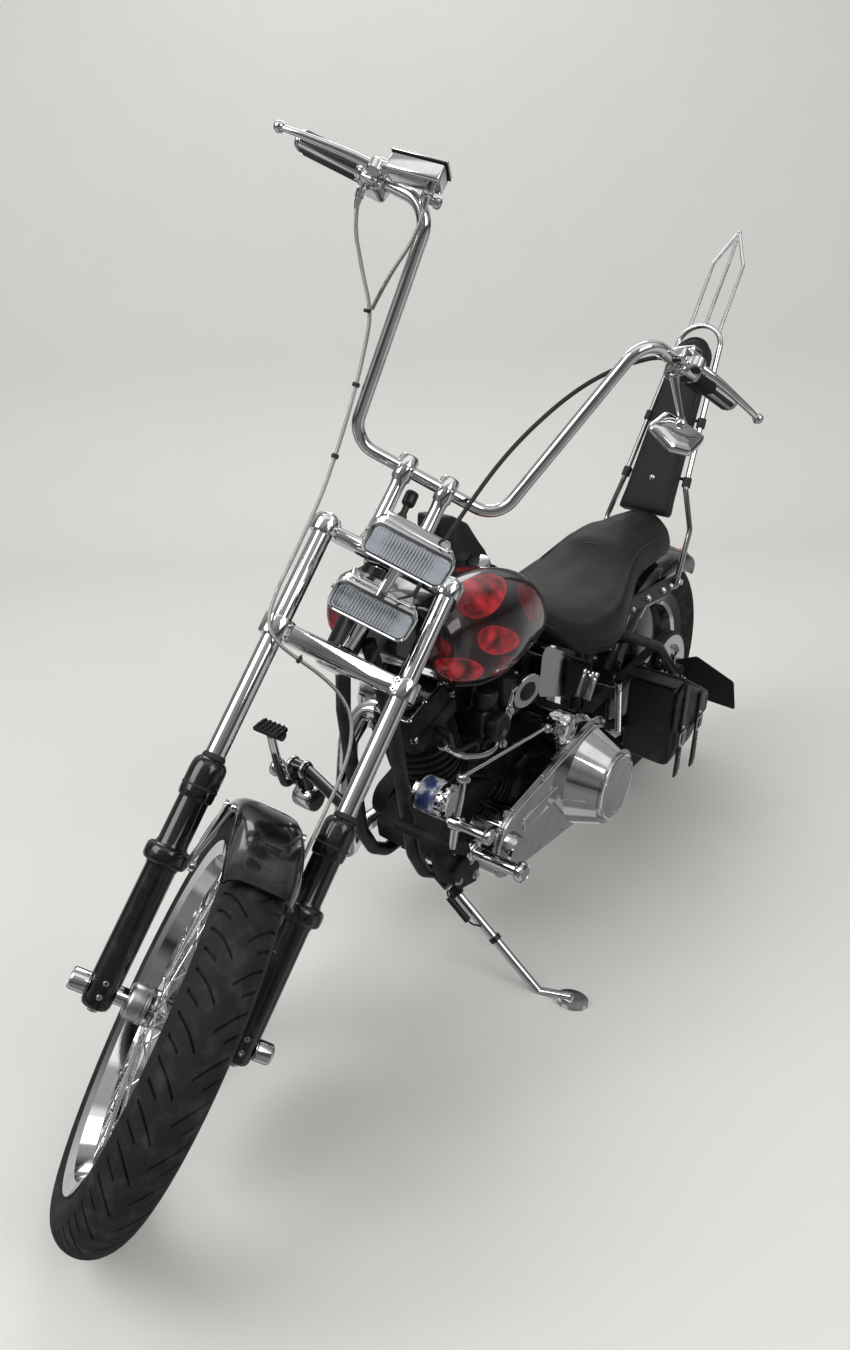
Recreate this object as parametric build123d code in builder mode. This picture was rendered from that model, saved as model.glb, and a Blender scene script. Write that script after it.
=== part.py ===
from build123d import *
import math
import os

# Chopper motorcycle, millimetres and degrees. It is drawn upright and straight: X forward, Y to its
# left, Z up, the rear tyre's contact at the origin. The parts are then turned into the parked
# stance: steering on its left stop, machine leaning left on the side stand.

os.makedirs("parts", exist_ok=True)

WHEELBASE = 1694
REAR_RADIUS, REAR_CROWN, REAR_HALF_WIDTH = 320, 70, 65
FRONT_RADIUS, FRONT_CROWN, FRONT_HALF_WIDTH = 345, 52, 50
RAKE = 41.5
FORK_OFFSET = 37
STEER = 44.5
LEAN = 5.4

# The fork's own frame: x forward across the fork, y left, z up along the tubes, axle at the origin.
RAKE_SIN, RAKE_COS = math.sin(math.radians(RAKE)), math.cos(math.radians(RAKE))
FORK = Plane(
    origin=(WHEELBASE, 0, FRONT_RADIUS),
    x_dir=(RAKE_COS, 0, RAKE_SIN),
    z_dir=(-RAKE_SIN, 0, RAKE_COS),
)
FORK_SPAN = 118
TUBE_RADIUS, LEG_RADIUS = 17, 25
LEG_TOP, TOP_TREE, LOWER_TREE = 388, 826, 627
AXLE_RADIUS, RUNNING_GAP = 10, 0.05
STEM_RADIUS = 14
COLLAR_RADIUS = 36
BAR_RADIUS = 11.1

CRANK = (907, 310)
CYLINDER_TILT = 22.5
RAIL_RADIUS, RAIL_Y, RAIL_Z, POST_Y = 14, 65, 246, 58
STAND_PIVOT, STAND_AXIS = Vector(1024, 114, 226), Vector(-0.15, 0.45, 0.88)
STAND_RANGE = 78


def tube(points, radius, bends):
    """A round bar or tube along straight runs joined by tangent arcs."""
    with BuildPart() as bent:
        with BuildLine() as path:
            if len(points) == 2:
                Line(*points)
            else:
                FilletPolyline(*points, radius=bends)
        with BuildSketch(Plane(origin=path.line @ 0, z_dir=path.line % 0)):
            Circle(radius)
        sweep()
    return bent.part


def cable(points, radius):
    """A cable along its route, every bend as wide as its two runs allow."""
    route = [Vector(*point) for point in points]
    bends = []
    for before, corner, after in zip(route, route[1:], route[2:]):
        turn = (corner - before).get_angle(after - corner)
        shorter = min((corner - before).length, (after - corner).length)
        bends.append(0.45 * shorter / math.tan(math.radians(turn / 2)))
    print("bend radii", [round(bend) for bend in bends])
    return tube(points, radius, bends)


def rod(start, end, radius):
    """A straight round bar between two points."""
    axis = Vector(*end) - Vector(*start)
    with BuildPart() as bar:
        with BuildSketch(Plane(origin=start, z_dir=axis)):
            Circle(radius)
        extrude(amount=axis.length)
    return bar.part


def ring(profile, sweep_angle=360):
    """A solid turned about Y from (radius, width) points, closed by its last edge."""
    with BuildPart() as turned:
        with BuildSketch():
            with BuildLine():
                Polyline(*profile, close=True)
            make_face()
        revolve(axis=Axis.Y, revolution_arc=sweep_angle)
    return turned.part


def tyre(radius, crown, half_width, bead_radius, bead_half):
    """A tyre with a round crown, its beads seated between the rim's flanges."""
    ring_radius = radius - crown
    edge = math.asin(min(1, half_width / crown))
    shoulder = ring_radius + crown * math.cos(edge)
    flange = bead_radius + 20
    with BuildPart() as tyre_ring:
        with BuildSketch():
            with BuildLine():
                ThreePointArc((shoulder, -half_width), (radius, 0), (shoulder, half_width))
                Line((shoulder, half_width), (flange, bead_half + 7))
                Polyline((flange, bead_half + 7), (bead_radius, bead_half), (bead_radius, -bead_half))
                Line((bead_radius, -bead_half), (flange, -bead_half - 7))
                Line((flange, -bead_half - 7), (shoulder, -half_width))
            make_face()
        revolve(axis=Axis.Y)
    return tyre_ring.part


# Front wheel: laced, 21 inch, hub on the axle's bore.
HUB_HALF = 52
FRONT_BEAD, FRONT_RIM_HALF, FRONT_WELL = 262, 35, 250
front_tyre = tyre(FRONT_RADIUS, FRONT_CROWN, FRONT_HALF_WIDTH, FRONT_BEAD, FRONT_RIM_HALF)
rim_half = [(FRONT_WELL, 13), (256, 38), (278, 45.5), (279, 41.6), (261.6, 35.5), (254, 12)]
with BuildPart() as front_rim:
    add(ring(rim_half + [(r, -y) for r, y in reversed(rim_half)]))
SPOKE_PAIRS = 10
with BuildPart() as front_hub:
    hub_profile = [
        (AXLE_RADIUS + RUNNING_GAP, -HUB_HALF), (30, -HUB_HALF), (30, -36), (44, -36), (44, -30),
        (27, -22), (27, 22), (44, 30), (44, 36), (30, 36), (30, HUB_HALF),
        (AXLE_RADIUS + RUNNING_GAP, HUB_HALF),
    ]
    add(ring(hub_profile))
    spokes = []
    for number in range(SPOKE_PAIRS * 4):
        turn = math.radians(number * 360 / (SPOKE_PAIRS * 4))
        side = 1 if number % 2 else -1
        sweep_angle = math.radians(52 if number % 4 < 2 else -52)
        hub_turn = turn + sweep_angle
        inner = (38 * math.cos(hub_turn), side * 33, 38 * math.sin(hub_turn))
        outer = ((FRONT_WELL - 0.8) * math.cos(turn), side * 5, (FRONT_WELL - 0.8) * math.sin(turn))
        spokes.append(rod(inner, outer, 2))
    add(spokes)
DISC_Y = 70
with BuildPart() as front_disc:
    disc_profile = [
        (31, DISC_Y), (31, DISC_Y - 18), (40, DISC_Y - 18), (48, DISC_Y), (145, DISC_Y), (145, DISC_Y + 5),
        (31, DISC_Y + 5),
    ]
    add(ring(disc_profile))

# Rear wheel: disc wheel, belt pulley on the left, brake disc on the right.
REAR_BEAD, REAR_RIM_HALF = 203, 38
rear_tyre = tyre(REAR_RADIUS, REAR_CROWN, REAR_HALF_WIDTH, REAR_BEAD, REAR_RIM_HALF)
with BuildPart() as rear_rim:
    wheel_profile = [
        (AXLE_RADIUS + RUNNING_GAP, -62), (34, -62), (36, -20), (180, -8), (190, -34), (196, -42),
        (222, -49), (223, -45.5), (202.6, -38.5), (202.6, 38.5), (223, 45.5), (222, 49), (196, 42),
        (190, 34), (180, 8), (36, 20), (34, 62), (AXLE_RADIUS + RUNNING_GAP, 62),
    ]
    add(ring(wheel_profile))
PULLEY_Y, PULLEY_RADIUS, PULLEY_WIDTH = 92, 118, 28
with BuildPart() as rear_pulley:
    low, high = PULLEY_Y - PULLEY_WIDTH / 2, PULLEY_Y + PULLEY_WIDTH / 2
    pulley_profile = [
        (34.5, 62.5), (60, low + 6), (88, low + 6), (92, low), (PULLEY_RADIUS, low),
        (PULLEY_RADIUS, high), (92, high), (88, low + 14), (60, low + 14), (34.5, high - 6), (14, high - 6), (14, 62.5),
    ]
    add(ring(pulley_profile))
with BuildPart() as rear_disc:
    add(ring([(14, -62.5), (40, -62.5), (48, -82), (145, -82), (145, -87), (14, -87)]))


# Fork, in the fork's frame.
def fork_pair(make):
    """The same piece on both fork tubes."""
    return [make(hand) for hand in (1, -1)]


def fork_leg(hand):
    leg_profile = [
        (0, -32), (16, -32), (20, -20), (22, 40), (LEG_RADIUS, 90), (LEG_RADIUS, 205), (33, 208),
        (COLLAR_RADIUS, 214), (COLLAR_RADIUS, 230), (33, 236), (LEG_RADIUS, 239), (LEG_RADIUS + 1, 330), (28, 338), (28, 375),
        (20, LEG_TOP), (0, LEG_TOP),
    ]
    with BuildPart() as leg:
        with BuildSketch(Plane.XZ):
            with BuildLine():
                Polyline(*leg_profile, close=True)
            make_face()
        revolve(axis=Axis.Z)
        with Locations((0, 0, 0)):
            Cylinder(AXLE_RADIUS + RUNNING_GAP, 90, rotation=(90, 0, 0), mode=Mode.SUBTRACT)
    return leg.part.moved(Location((0, hand * FORK_SPAN, 0)))


fork_legs = fork_pair(fork_leg)
fork_tubes = fork_pair(
    lambda hand: rod((0, hand * FORK_SPAN, LEG_TOP), (0, hand * FORK_SPAN, TOP_TREE + 2), TUBE_RADIUS)
)
SPACER_IN = {1: DISC_Y + 5.5, -1: HUB_HALF + 0.5}
with BuildPart() as front_axle:
    with BuildSketch(Plane.XZ):
        Circle(AXLE_RADIUS)
    extrude(amount=FORK_SPAN + 38, both=True)
    for hand in (1, -1):
        add(rod((0, hand * (FORK_SPAN + 22.3), 0), (0, hand * (FORK_SPAN + 50), 0), 16))
        add(rod((0, hand * SPACER_IN[hand], 0), (0, hand * (FORK_SPAN - 22.3), 0), 15))


def tree(bottom, top, clamp_radius, waist):
    """A fork yoke: two split clamps and a web back to the stem."""
    with BuildPart() as yoke:
        with BuildSketch(Plane.XY.offset(bottom)):
            with Locations((0, FORK_SPAN), (0, -FORK_SPAN)):
                Circle(clamp_radius)
            with Locations((-FORK_OFFSET, 0)):
                Circle(32)
            with Locations((-8, 0)):
                Rectangle(waist, 2 * FORK_SPAN)
            with Locations((0, FORK_SPAN), (0, -FORK_SPAN)):
                Circle(TUBE_RADIUS + 0.1, mode=Mode.SUBTRACT)
        extrude(amount=top - bottom)
    return yoke.part


with BuildPart() as upper_tree:
    add(tree(TOP_TREE - 26, TOP_TREE, 24, 40))
with BuildPart() as lower_tree:
    add(tree(LOWER_TREE - 20, LOWER_TREE + 16, 26, 42))
    with BuildSketch(Plane.XY.offset(LOWER_TREE)):
        with Locations((-FORK_OFFSET, 0)):
            Circle(STEM_RADIUS)
    extrude(amount=TOP_TREE - 26.2 - LOWER_TREE)

# Handlebar on two risers, grips, levers, mirror.
BAR_LOW = (5, 967)
RISER_Y = 40
GRIP_END, GRIP_IN = Vector(79, 428, 1344), Vector(200, 200, 1292)
bar_half = [tuple(GRIP_END), tuple(GRIP_IN), (BAR_LOW[0], 143, BAR_LOW[1])]
handlebar = tube(bar_half + [(n, -y, u) for n, y, u in reversed(bar_half)], BAR_RADIUS, 50)
with BuildPart() as risers:
    for hand in (1, -1):
        with BuildSketch(Plane.XY.offset(TOP_TREE + 0.1)):
            with Locations((-6, hand * RISER_Y)):
                Circle(18)
        with BuildSketch(Plane.XY.offset(BAR_LOW[1] - 16)):
            with Locations((BAR_LOW[0], hand * RISER_Y)):
                Circle(13)
        loft()
        with BuildSketch(Plane(origin=(BAR_LOW[0], hand * RISER_Y - 17, BAR_LOW[1]), z_dir=(0, 1, 0))):
            Circle(20)
        extrude(amount=34)
    with BuildSketch(Plane.XZ.offset(-80)):
        with Locations(BAR_LOW):
            Circle(BAR_RADIUS + 0.1)
    extrude(amount=160, mode=Mode.SUBTRACT)

GRIP_WAY = (GRIP_IN - GRIP_END).normalized()
GRIP_LENGTH = 128


def on_bar(distance, hand, drop=(0, 0)):
    """A point of the grip's line, inwards from the bar's end, moved forward and up."""
    point = GRIP_END + GRIP_WAY * distance
    return (point.X + drop[0], hand * point.Y, point.Z + drop[1])


def sleeve(start, end, outer, inner, hand):
    """A round sleeve over the bar between two distances from its end."""
    with BuildPart() as cover:
        way = Vector(*on_bar(end, hand)) - Vector(*on_bar(start, hand))
        with BuildSketch(Plane(origin=on_bar(start, hand), z_dir=way)):
            Circle(outer)
            if inner:
                Circle(inner, mode=Mode.SUBTRACT)
        extrude(amount=way.length)
    return cover.part


grips = []
bar_controls = []
LEVER_BALL = (147, 459, 1304)
for hand in (1, -1):
    grips.append(sleeve(0, GRIP_LENGTH, 18, BAR_RADIUS + 0.1, hand))
    with BuildPart() as control:
        add(sleeve(GRIP_LENGTH + 1, GRIP_LENGTH + 42, 22, BAR_RADIUS + 0.1, hand))
        perch = on_bar(GRIP_LENGTH + 18, hand, (42, -10))
        add(rod(on_bar(GRIP_LENGTH + 18, hand, (19, -5)), perch, 8))
        with BuildSketch(Plane(origin=(perch[0], perch[1], perch[2] - 10), z_dir=(0, 0, 1))):
            Circle(14)
        extrude(amount=20)
        ball = (LEVER_BALL[0], hand * LEVER_BALL[1], LEVER_BALL[2])
        add(rod(perch, ball, 6))
        with Locations(ball):
            Sphere(10)
        if hand < 0:
            add(rod(perch, on_bar(GRIP_LENGTH + 60, hand, (36, 10)), 9))
            with Locations(Location(on_bar(GRIP_LENGTH + 86, hand, (38, 18)), (0, 0, -28))):
                Box(36, 92, 38)
    bar_controls.append(control.part)
MIRROR = (125, 339, 1214)
with BuildPart() as mirror:
    with BuildSketch(Plane(origin=MIRROR, x_dir=(0, 1, 0), z_dir=(1, 0, 0.45))) as mirror_face:
        with BuildLine():
            Polyline((-48, -15), (-27, 31), (47, 14), (29, -30), close=True)
        make_face()
        fillet(mirror_face.vertices(), 12)
    extrude(amount=14)
    add(rod((130, 337, 1226), on_bar(GRIP_LENGTH + 18, 1, (-4, -30)), 5))


def ahead(x, y, z):
    """A point of the machine, with its fork straight ahead, in the fork's frame."""
    return FORK.to_local_coords(Vector(x, y, z))


# Two square headlamps, one above the other, upright when the fork points ahead.
LAMP_WIDTH, LAMP_HEIGHT, LAMP_DEPTH = 144, 62, 78
LAMPS = ((1310, 1053), (1297, 930))
LAMP_POST_X = 1278
headlamps, lamp_glasses = [], []
for x, z in LAMPS:
    face = Plane(origin=ahead(x, 0, z), x_dir=(0, 1, 0), z_dir=(RAKE_COS, 0, -RAKE_SIN))
    with BuildPart() as shell:
        with BuildSketch(face):
            RectangleRounded(LAMP_WIDTH, LAMP_HEIGHT, 16)
        with BuildSketch(face.offset(-26)):
            RectangleRounded(LAMP_WIDTH, LAMP_HEIGHT, 16)
        with BuildSketch(face.offset(-LAMP_DEPTH)):
            RectangleRounded(108, 40, 14)
        loft(ruled=True)
        with BuildSketch(face.offset(-10)):
            RectangleRounded(LAMP_WIDTH - 12, LAMP_HEIGHT - 12, 11)
        extrude(amount=12, mode=Mode.SUBTRACT)
    headlamps.append(shell.part)
    with BuildPart() as glass:
        with BuildSketch(face.offset(-9.8)):
            RectangleRounded(LAMP_WIDTH - 13, LAMP_HEIGHT - 13, 10)
        extrude(amount=10)
    lamp_glasses.append(glass.part)
with BuildPart() as lamp_bracket:
    add(rod(ahead(LAMP_POST_X, 0, 800), ahead(LAMP_POST_X, 0, LAMPS[1][1] - LAMP_HEIGHT / 2 - 0.1), 11))
    split(bisect_by=Plane.XY.offset(LOWER_TREE + 16.1))
    add(rod(ahead(LAMP_POST_X, 0, LAMPS[1][1] + LAMP_HEIGHT / 2 + 0.1),
            ahead(LAMP_POST_X, 0, LAMPS[0][1] - LAMP_HEIGHT / 2 - 0.1), 9))


# Short front mudguard on the wheel, held at the fork's collars by two stays.
GUARD_GAP = 8
guard = FRONT_RADIUS + GUARD_GAP
guard_in = [(guard - 16, 55), (guard - 6, 50), (guard, 36)]
guard_out = [(guard - 16, 58), (guard - 4, 53), (guard + 3.5, 37)]
guard_edge = guard_in + [(r, -y) for r, y in reversed(guard_in)]
guard_edge += [(r, -y) for r, y in guard_out] + list(reversed(guard_out))
with BuildPart() as front_fender:
    add(ring(guard_edge, -95).rotate(Axis.Y, -45))
    for hand in (1, -1):
        with BuildSketch(Plane.YZ):
            with BuildLine():
                Polyline((hand * 70, 213), (hand * 81.8, 213), (hand * 81.8, 231), (hand * 57.5, 345),
                         (hand * 52, 345), close=True)
            make_face()
        extrude(amount=9, both=True)
# Frame.
NECK_LOW, NECK_HIGH = LOWER_TREE + 21, TOP_TREE - 31


def fork_point(n, y, u):
    """A point of the fork's frame in the machine's frame, straight ahead."""
    return FORK.from_local_coords(Vector(n, y, u))


with BuildPart() as frame_backbone:
    neck = Plane(origin=fork_point(-FORK_OFFSET, 0, NECK_LOW), z_dir=FORK.z_dir)
    with BuildSketch(neck):
        Circle(29)
    extrude(amount=NECK_HIGH - NECK_LOW)
    spine_start = fork_point(-FORK_OFFSET - 20, 0, 722)
    add(tube([spine_start, (1050, 0, 778), (640, 0, 668), (450, 0, 612)], 24, 60))
    add(rod((442, -POST_Y + 14.1, 610), (442, POST_Y - 14.1, 610), 16))
    with BuildSketch(neck):
        Circle(STEM_RADIUS + RUNNING_GAP)
    extrude(amount=NECK_HIGH - NECK_LOW, mode=Mode.SUBTRACT)

cradles = {}
for side, hand in (("left", 1), ("right", -1)):
    down = fork_point(-FORK_OFFSET, 0, NECK_LOW + 18)
    route = [
        (down.X - 22, hand * 28, down.Z - 4), (1166, hand * 58, 640), (1104, hand * RAIL_Y, 340),
        (1066, hand * RAIL_Y, 276), (1020, hand * RAIL_Y, RAIL_Z), (560, hand * RAIL_Y, RAIL_Z),
        (448, hand * POST_Y, RAIL_Z + 16), (440, hand * POST_Y, 645),
    ]
    with BuildPart() as cradle:
        add(tube(route, RAIL_RADIUS, 36))
        if hand > 0:
            add(rod((1020, RAIL_Y + 7, RAIL_Z - 4), (STAND_PIVOT.X, STAND_PIVOT.Y - 14, STAND_PIVOT.Z + 3), 13))
        add(rod(fork_point(-FORK_OFFSET, 0, NECK_LOW - 5), fork_point(-FORK_OFFSET, 0, NECK_HIGH), 29.1),
            mode=Mode.SUBTRACT)
    cradles[side] = cradle.part

SWING_Y = 130
with BuildPart() as swingarm:
    for hand in (1, -1):
        y = hand * SWING_Y
        add(tube([(20, y, 322), (270, y, 308), (398, hand * POST_Y, 295)], 15, 60))
        add(tube([(10, y, 345), (140, y, 465), (340, hand * 114, 562), (398, hand * POST_Y, 575)], 13, 40))
        with BuildSketch(Plane(origin=(0, y - 8, 0), x_dir=(1, 0, 0), z_dir=(0, 1, 0))):
            with Locations((-5, -325)):
                SlotOverall(90, 62)
        extrude(amount=16)
        add(rod((398, hand * POST_Y, 285), (398, hand * POST_Y, 585), 14))
    for height in (295, 575):
        add(rod((398, -POST_Y, height), (398, POST_Y, height), 15))
    with BuildSketch(Plane.XZ.offset(-160)):
        with Locations((0, REAR_RADIUS)):
            Circle(AXLE_RADIUS + RUNNING_GAP)
    extrude(amount=320, mode=Mode.SUBTRACT)
with BuildPart() as rear_axle:
    with BuildSketch(Plane.XZ):
        with Locations((0, REAR_RADIUS)):
            Circle(AXLE_RADIUS)
    extrude(amount=SWING_Y + 26, both=True)
    for hand in (1, -1):
        with BuildSketch(Plane(origin=(0, hand * (SWING_Y + 8.2), REAR_RADIUS), z_dir=(0, hand, 0))):
            RegularPolygon(18, 6)
        extrude(amount=14)
    for start, end in ((106.5, 121.5), (-87.5, -121.5)):
        add(rod((0, start, REAR_RADIUS), (0, end, REAR_RADIUS), 16))

STRUT_Y = 104
fender_struts = []
for hand in (1, -1):
    with BuildPart() as strut:
        with BuildSketch(Plane(origin=(0, hand * STRUT_Y - 5, 0), x_dir=(1, 0, 0), z_dir=(0, 1, 0))):
            with BuildLine():
                Polyline((424, -650), (424, -612), (60, -580), (30, -590), (30, -618), (60, -622), close=True)
            make_face()
        extrude(amount=10)
        for x in (110, 200):
            add(rod((x, hand * (STRUT_Y - 4.5), 604), (x, hand * 90.3, 604), 8))
    fender_struts.append(strut.part)

with BuildPart() as rear_fender:
    inside = REAR_RADIUS + 16
    skin_in = [(inside - 46, 86), (inside - 10, 82), (inside, 60)]
    skin_out = [(inside - 46, 90), (inside - 8, 86), (inside + 4, 62)]
    skin = skin_in + [(r, -y) for r, y in reversed(skin_in)]
    skin += [(r, -y) for r, y in skin_out] + list(reversed(skin_out))
    add(ring(skin, -96).rotate(Axis.Y, -22).moved(Location((0, 0, REAR_RADIUS))))

# Engine: crankcase and gearbox in one block, finned cylinders, rocker boxes.
DECK = 92
deck_side, deck_peak = 62, DECK / math.cos(math.radians(CYLINDER_TILT))
tilt_sin, tilt_cos = math.sin(math.radians(CYLINDER_TILT)), math.cos(math.radians(CYLINDER_TILT))
deck_x, deck_z = DECK * tilt_sin + deck_side * tilt_cos, DECK * tilt_cos - deck_side * tilt_sin
CASE_HALF, BELLY_HALF, CAM_SIDE = 68, 48, 108
with BuildPart() as crankcase:
    with BuildSketch(Plane.XZ.offset(CASE_HALF)):
        with BuildLine():
            Polyline(
                (500, 275), (560, 262), (1010, 262), (1042, 292), (1050, 330),
                (CRANK[0] + deck_x, CRANK[1] + deck_z), (CRANK[0], CRANK[1] + deck_peak),
                (CRANK[0] - deck_x, CRANK[1] + deck_z), (790, 372), (740, 430), (520, 430), (480, 390), close=True,
            )
        make_face()
    extrude(amount=-2 * CASE_HALF - 8)
    with BuildSketch(Plane.XZ.offset(BELLY_HALF)):
        with BuildLine():
            Polyline((600, 280), (640, 232), (930, 222), (990, 240), (1006, 280), close=True)
        make_face()
    extrude(amount=-2 * BELLY_HALF)
    with BuildSketch(Plane.XZ.offset(CAM_SIDE)):
        with Locations((CRANK[0], CRANK[1] + 25)):
            Circle(72)
        with Locations((CRANK[0] + 66, CRANK[1] + 34)):
            Circle(42)
        make_hull()
    extrude(amount=CASE_HALF - CAM_SIDE)


BARREL_GAP = 2


def cylinder(hand):
    """A finned barrel and head with its rocker box, cut flat where the two barrels meet."""
    fins = [(0, DECK + 0.2), (56, DECK + 0.2), (56, 100)]
    for number in range(9):
        foot = 100 + number * 19
        wide = 72 if number < 5 else 76
        fins += [(60, foot), (wide, foot), (wide, foot + 7), (60, foot + 7)]
    fins += [(60, 285), (0, 285)]
    with BuildPart() as pot:
        with BuildSketch(Plane.XZ):
            with BuildLine():
                Polyline(*fins, close=True)
            make_face()
        revolve(axis=Axis.Z)
        with BuildSketch(Plane.XY.offset(285)):
            RectangleRounded(150, 118, 22)
        extrude(amount=34)
        with BuildSketch(Plane.XY.offset(319)):
            RectangleRounded(140, 108, 22)
        extrude(amount=36, taper=12)
    with BuildPart() as half:
        add(pot.part.rotate(Axis.Y, hand * CYLINDER_TILT).moved(Location((CRANK[0], 0, CRANK[1]))))
        split(bisect_by=Plane(origin=(CRANK[0] + hand * BARREL_GAP, 0, 0), z_dir=(hand, 0, 0)))
    return half.part


front_cylinder = cylinder(1)
rear_cylinder = cylinder(-1)

PRIMARY_FACE, DRUM_FACE = 175, 245
DERBY = (588, 310)
with BuildPart() as primary_cover:
    with BuildSketch(Plane.XZ.offset(-PRIMARY_FACE)):
        with Locations((905, 312)):
            Circle(85)
        with Locations((600, 330)):
            Circle(130)
        make_hull()
    extrude(amount=PRIMARY_FACE - 112)
    with BuildSketch(Plane.XZ.offset(-PRIMARY_FACE)):
        with Locations((594, 318)):
            Circle(116)
    with BuildSketch(Plane.XZ.offset(-DRUM_FACE)):
        with Locations(DERBY):
            Circle(88)
    loft()
    with BuildSketch(Plane.XZ.offset(-PRIMARY_FACE)):
        with Locations((918, 296)):
            Circle(34)
    extrude(amount=-24)
with BuildPart() as derby_cover:
    with BuildSketch(Plane.XZ.offset(-DRUM_FACE - 0.1)):
        with Locations(DERBY):
            Circle(80)
    extrude(amount=-7)
    fillet(derby_cover.faces().sort_by(Axis.Y)[-1].edges(), 3)

OIL_TANK_Y = 118
with BuildPart() as oil_tank:
    with BuildSketch(Plane.XZ.offset(-OIL_TANK_Y)):
        with BuildLine():
            Polyline((502, 546), (492, 456), (742, 556), (738, 676), close=True)
        make_face()
    extrude(amount=2 * OIL_TANK_Y)
    fillet(oil_tank.edges().filter_by(Axis.Y), 20)
    with BuildSketch(Plane.XZ.offset(-72)):
        with Locations((732, 620)):
            Rectangle(120, 300)
    extrude(amount=OIL_TANK_Y + 74, mode=Mode.SUBTRACT)
    with BuildSketch(Plane.XZ.offset(-32)):
        with Locations((600, 662)):
            Rectangle(400, 60, rotation=12)
    extrude(amount=64, mode=Mode.SUBTRACT)
with BuildPart() as oil_filter:
    add(rod((1071, 57, 462), (1071, 124, 462), 36))
    add(rod((1071, 124, 462), (1071, 132, 462), 24))
with BuildPart() as starter_motor:
    add(rod((700, -60, 478), (700, 140, 478), 29))
    add(rod((700, 140, 478), (700, 170, 478), 33))
with BuildPart() as air_cleaner:
    add(rod((907, -112, 560), (907, -172, 560), 88))
    add(rod((907, -56, 552), (907, -112, 560), 22))
exhaust = [
    tube([(1044, -60.3, 582), (1044, -100, 582), (1080, -118, 520), (1080, -130, 330), (1050, -150, 222),
          (940, -190, 215), (560, -190, 215)], 21, 30),
    tube([(768, -60.3, 572), (768, -100, 572), (716, -146, 500), (690, -172, 340), (600, -190, 308),
          (450, -190, 308)], 21, 30),
]
mufflers = [rod((560, -190, 215), (130, -190, 215), 36), rod((450, -190, 308), (60, -190, 308), 36)]
with BuildPart() as exhaust_pipes:
    add(exhaust + mufflers)

# Forward controls.
PEG = (1090, 391)
PEG_RADIUS, PEG_START, PEG_END = 12, 252, 312
TOE_PEG = (1152, 486)
TOE_RADIUS, TOE_START, TOE_END = 10, 200, 264
with BuildPart() as left_controls:
    add(rod((1151, 62, 430), (1151, 185, 430), 12))
    add(rod((1150, 178, 430), (PEG[0], 178, PEG[1]), 11))
    add(rod((PEG[0], 178, PEG[1]), (PEG[0], 308, PEG[1]), PEG_RADIUS))
    add(rod((PEG[0], 292, PEG[1]), (PEG[0], 306, PEG[1]), 19))
    add(rod((1150, 172, 430), (TOE_PEG[0], 190, TOE_PEG[1]), 8))
    add(rod((TOE_PEG[0], 182, TOE_PEG[1]), (TOE_PEG[0], TOE_START, TOE_PEG[1]), 14))
    add(rod((TOE_PEG[0], 186, TOE_PEG[1]), (TOE_PEG[0], TOE_END, TOE_PEG[1]), TOE_RADIUS))
    add(rod((1152, 190, 486), (1128, 190, 567), 6))
    add(rod((1128, 182, 567), (760, 150, 500), 4))
with BuildPart() as right_controls:
    add(rod((1154, -62, 418), (1103, -205, 424), 13))
    add(rod((1103, -205, 424), (1103, -250, 424), 16))
    add(tube([(1103, -240, 424), (1125, -242, 365), (1150, -246, 440), (1172, -240, 530)], 8, 14))
    add(rod((1172, -208, 535), (1172, -272, 535), 11))
    add(rod((1103, -240, 424), (PEG[0], -240, PEG[1]), 11))
    add(rod((PEG[0], -232, PEG[1]), (PEG[0], -PEG_START, PEG[1]), 17))
    add(rod((PEG[0], -240, PEG[1]), (PEG[0], -PEG_END, PEG[1]), PEG_RADIUS))
    add(rod((1088, -196, 350), (1088, -244, 350), 25))
    add(rod((1103, -214, 424), (1088, -214, 360), 10))

# Tank, seat, back rest, bag.


def section(x, half, floor, shoulder, crown):
    """A closed cross section of the bodywork at one place along X."""
    with BuildSketch(Plane(origin=(x, 0, 0), x_dir=(0, 1, 0), z_dir=(1, 0, 0))) as outline:
        with BuildLine():
            Line((-half * 0.8, floor), (half * 0.8, floor))
            ThreePointArc((half * 0.8, floor), (half, (floor + shoulder) / 2), (half * 0.93, shoulder))
            ThreePointArc((half * 0.93, shoulder), (0, crown), (-half * 0.93, shoulder))
            ThreePointArc((-half * 0.93, shoulder), (-half, (floor + shoulder) / 2), (-half * 0.8, floor))
        make_face()
    return outline.sketch


def lofted(stations):
    """One body through its cross sections."""
    with BuildPart() as body:
        loft([section(*station) for station in stations], ruled=True)
    return body.part


# columns: x, half width, floor, shoulder, crown
TANK = (
    (1112, 128, 752, 812, 846), (1076, 146, 716, 818, 862), (1000, 163, 690, 812, 868),
    (920, 165, 683, 800, 868), (840, 156, 690, 788, 850), (770, 138, 700, 770, 820), (704, 102, 716, 744, 768),
)
SEAT = (
    (698, 92, 690, 722, 742), (600, 146, 612, 674, 706), (520, 158, 582, 664, 692), (430, 154, 566, 674, 690),
    (350, 130, 604, 700, 716), (290, 112, 655, 724, 752), (235, 104, 672, 728, 774), (170, 96, 674, 716, 758),
    (40, 84, 674, 712, 746),
)
tank_skin = lofted(TANK)
with BuildPart() as fuel_tank:
    add(tank_skin)
    with BuildSketch(Plane.XZ):
        with BuildLine():
            Polyline((1130, 660), (1130, 880), (1092, 880), (1070, 818), (690, 735), (690, 660), close=True)
        make_face()
    extrude(amount=32, both=True, mode=Mode.SUBTRACT)
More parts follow.
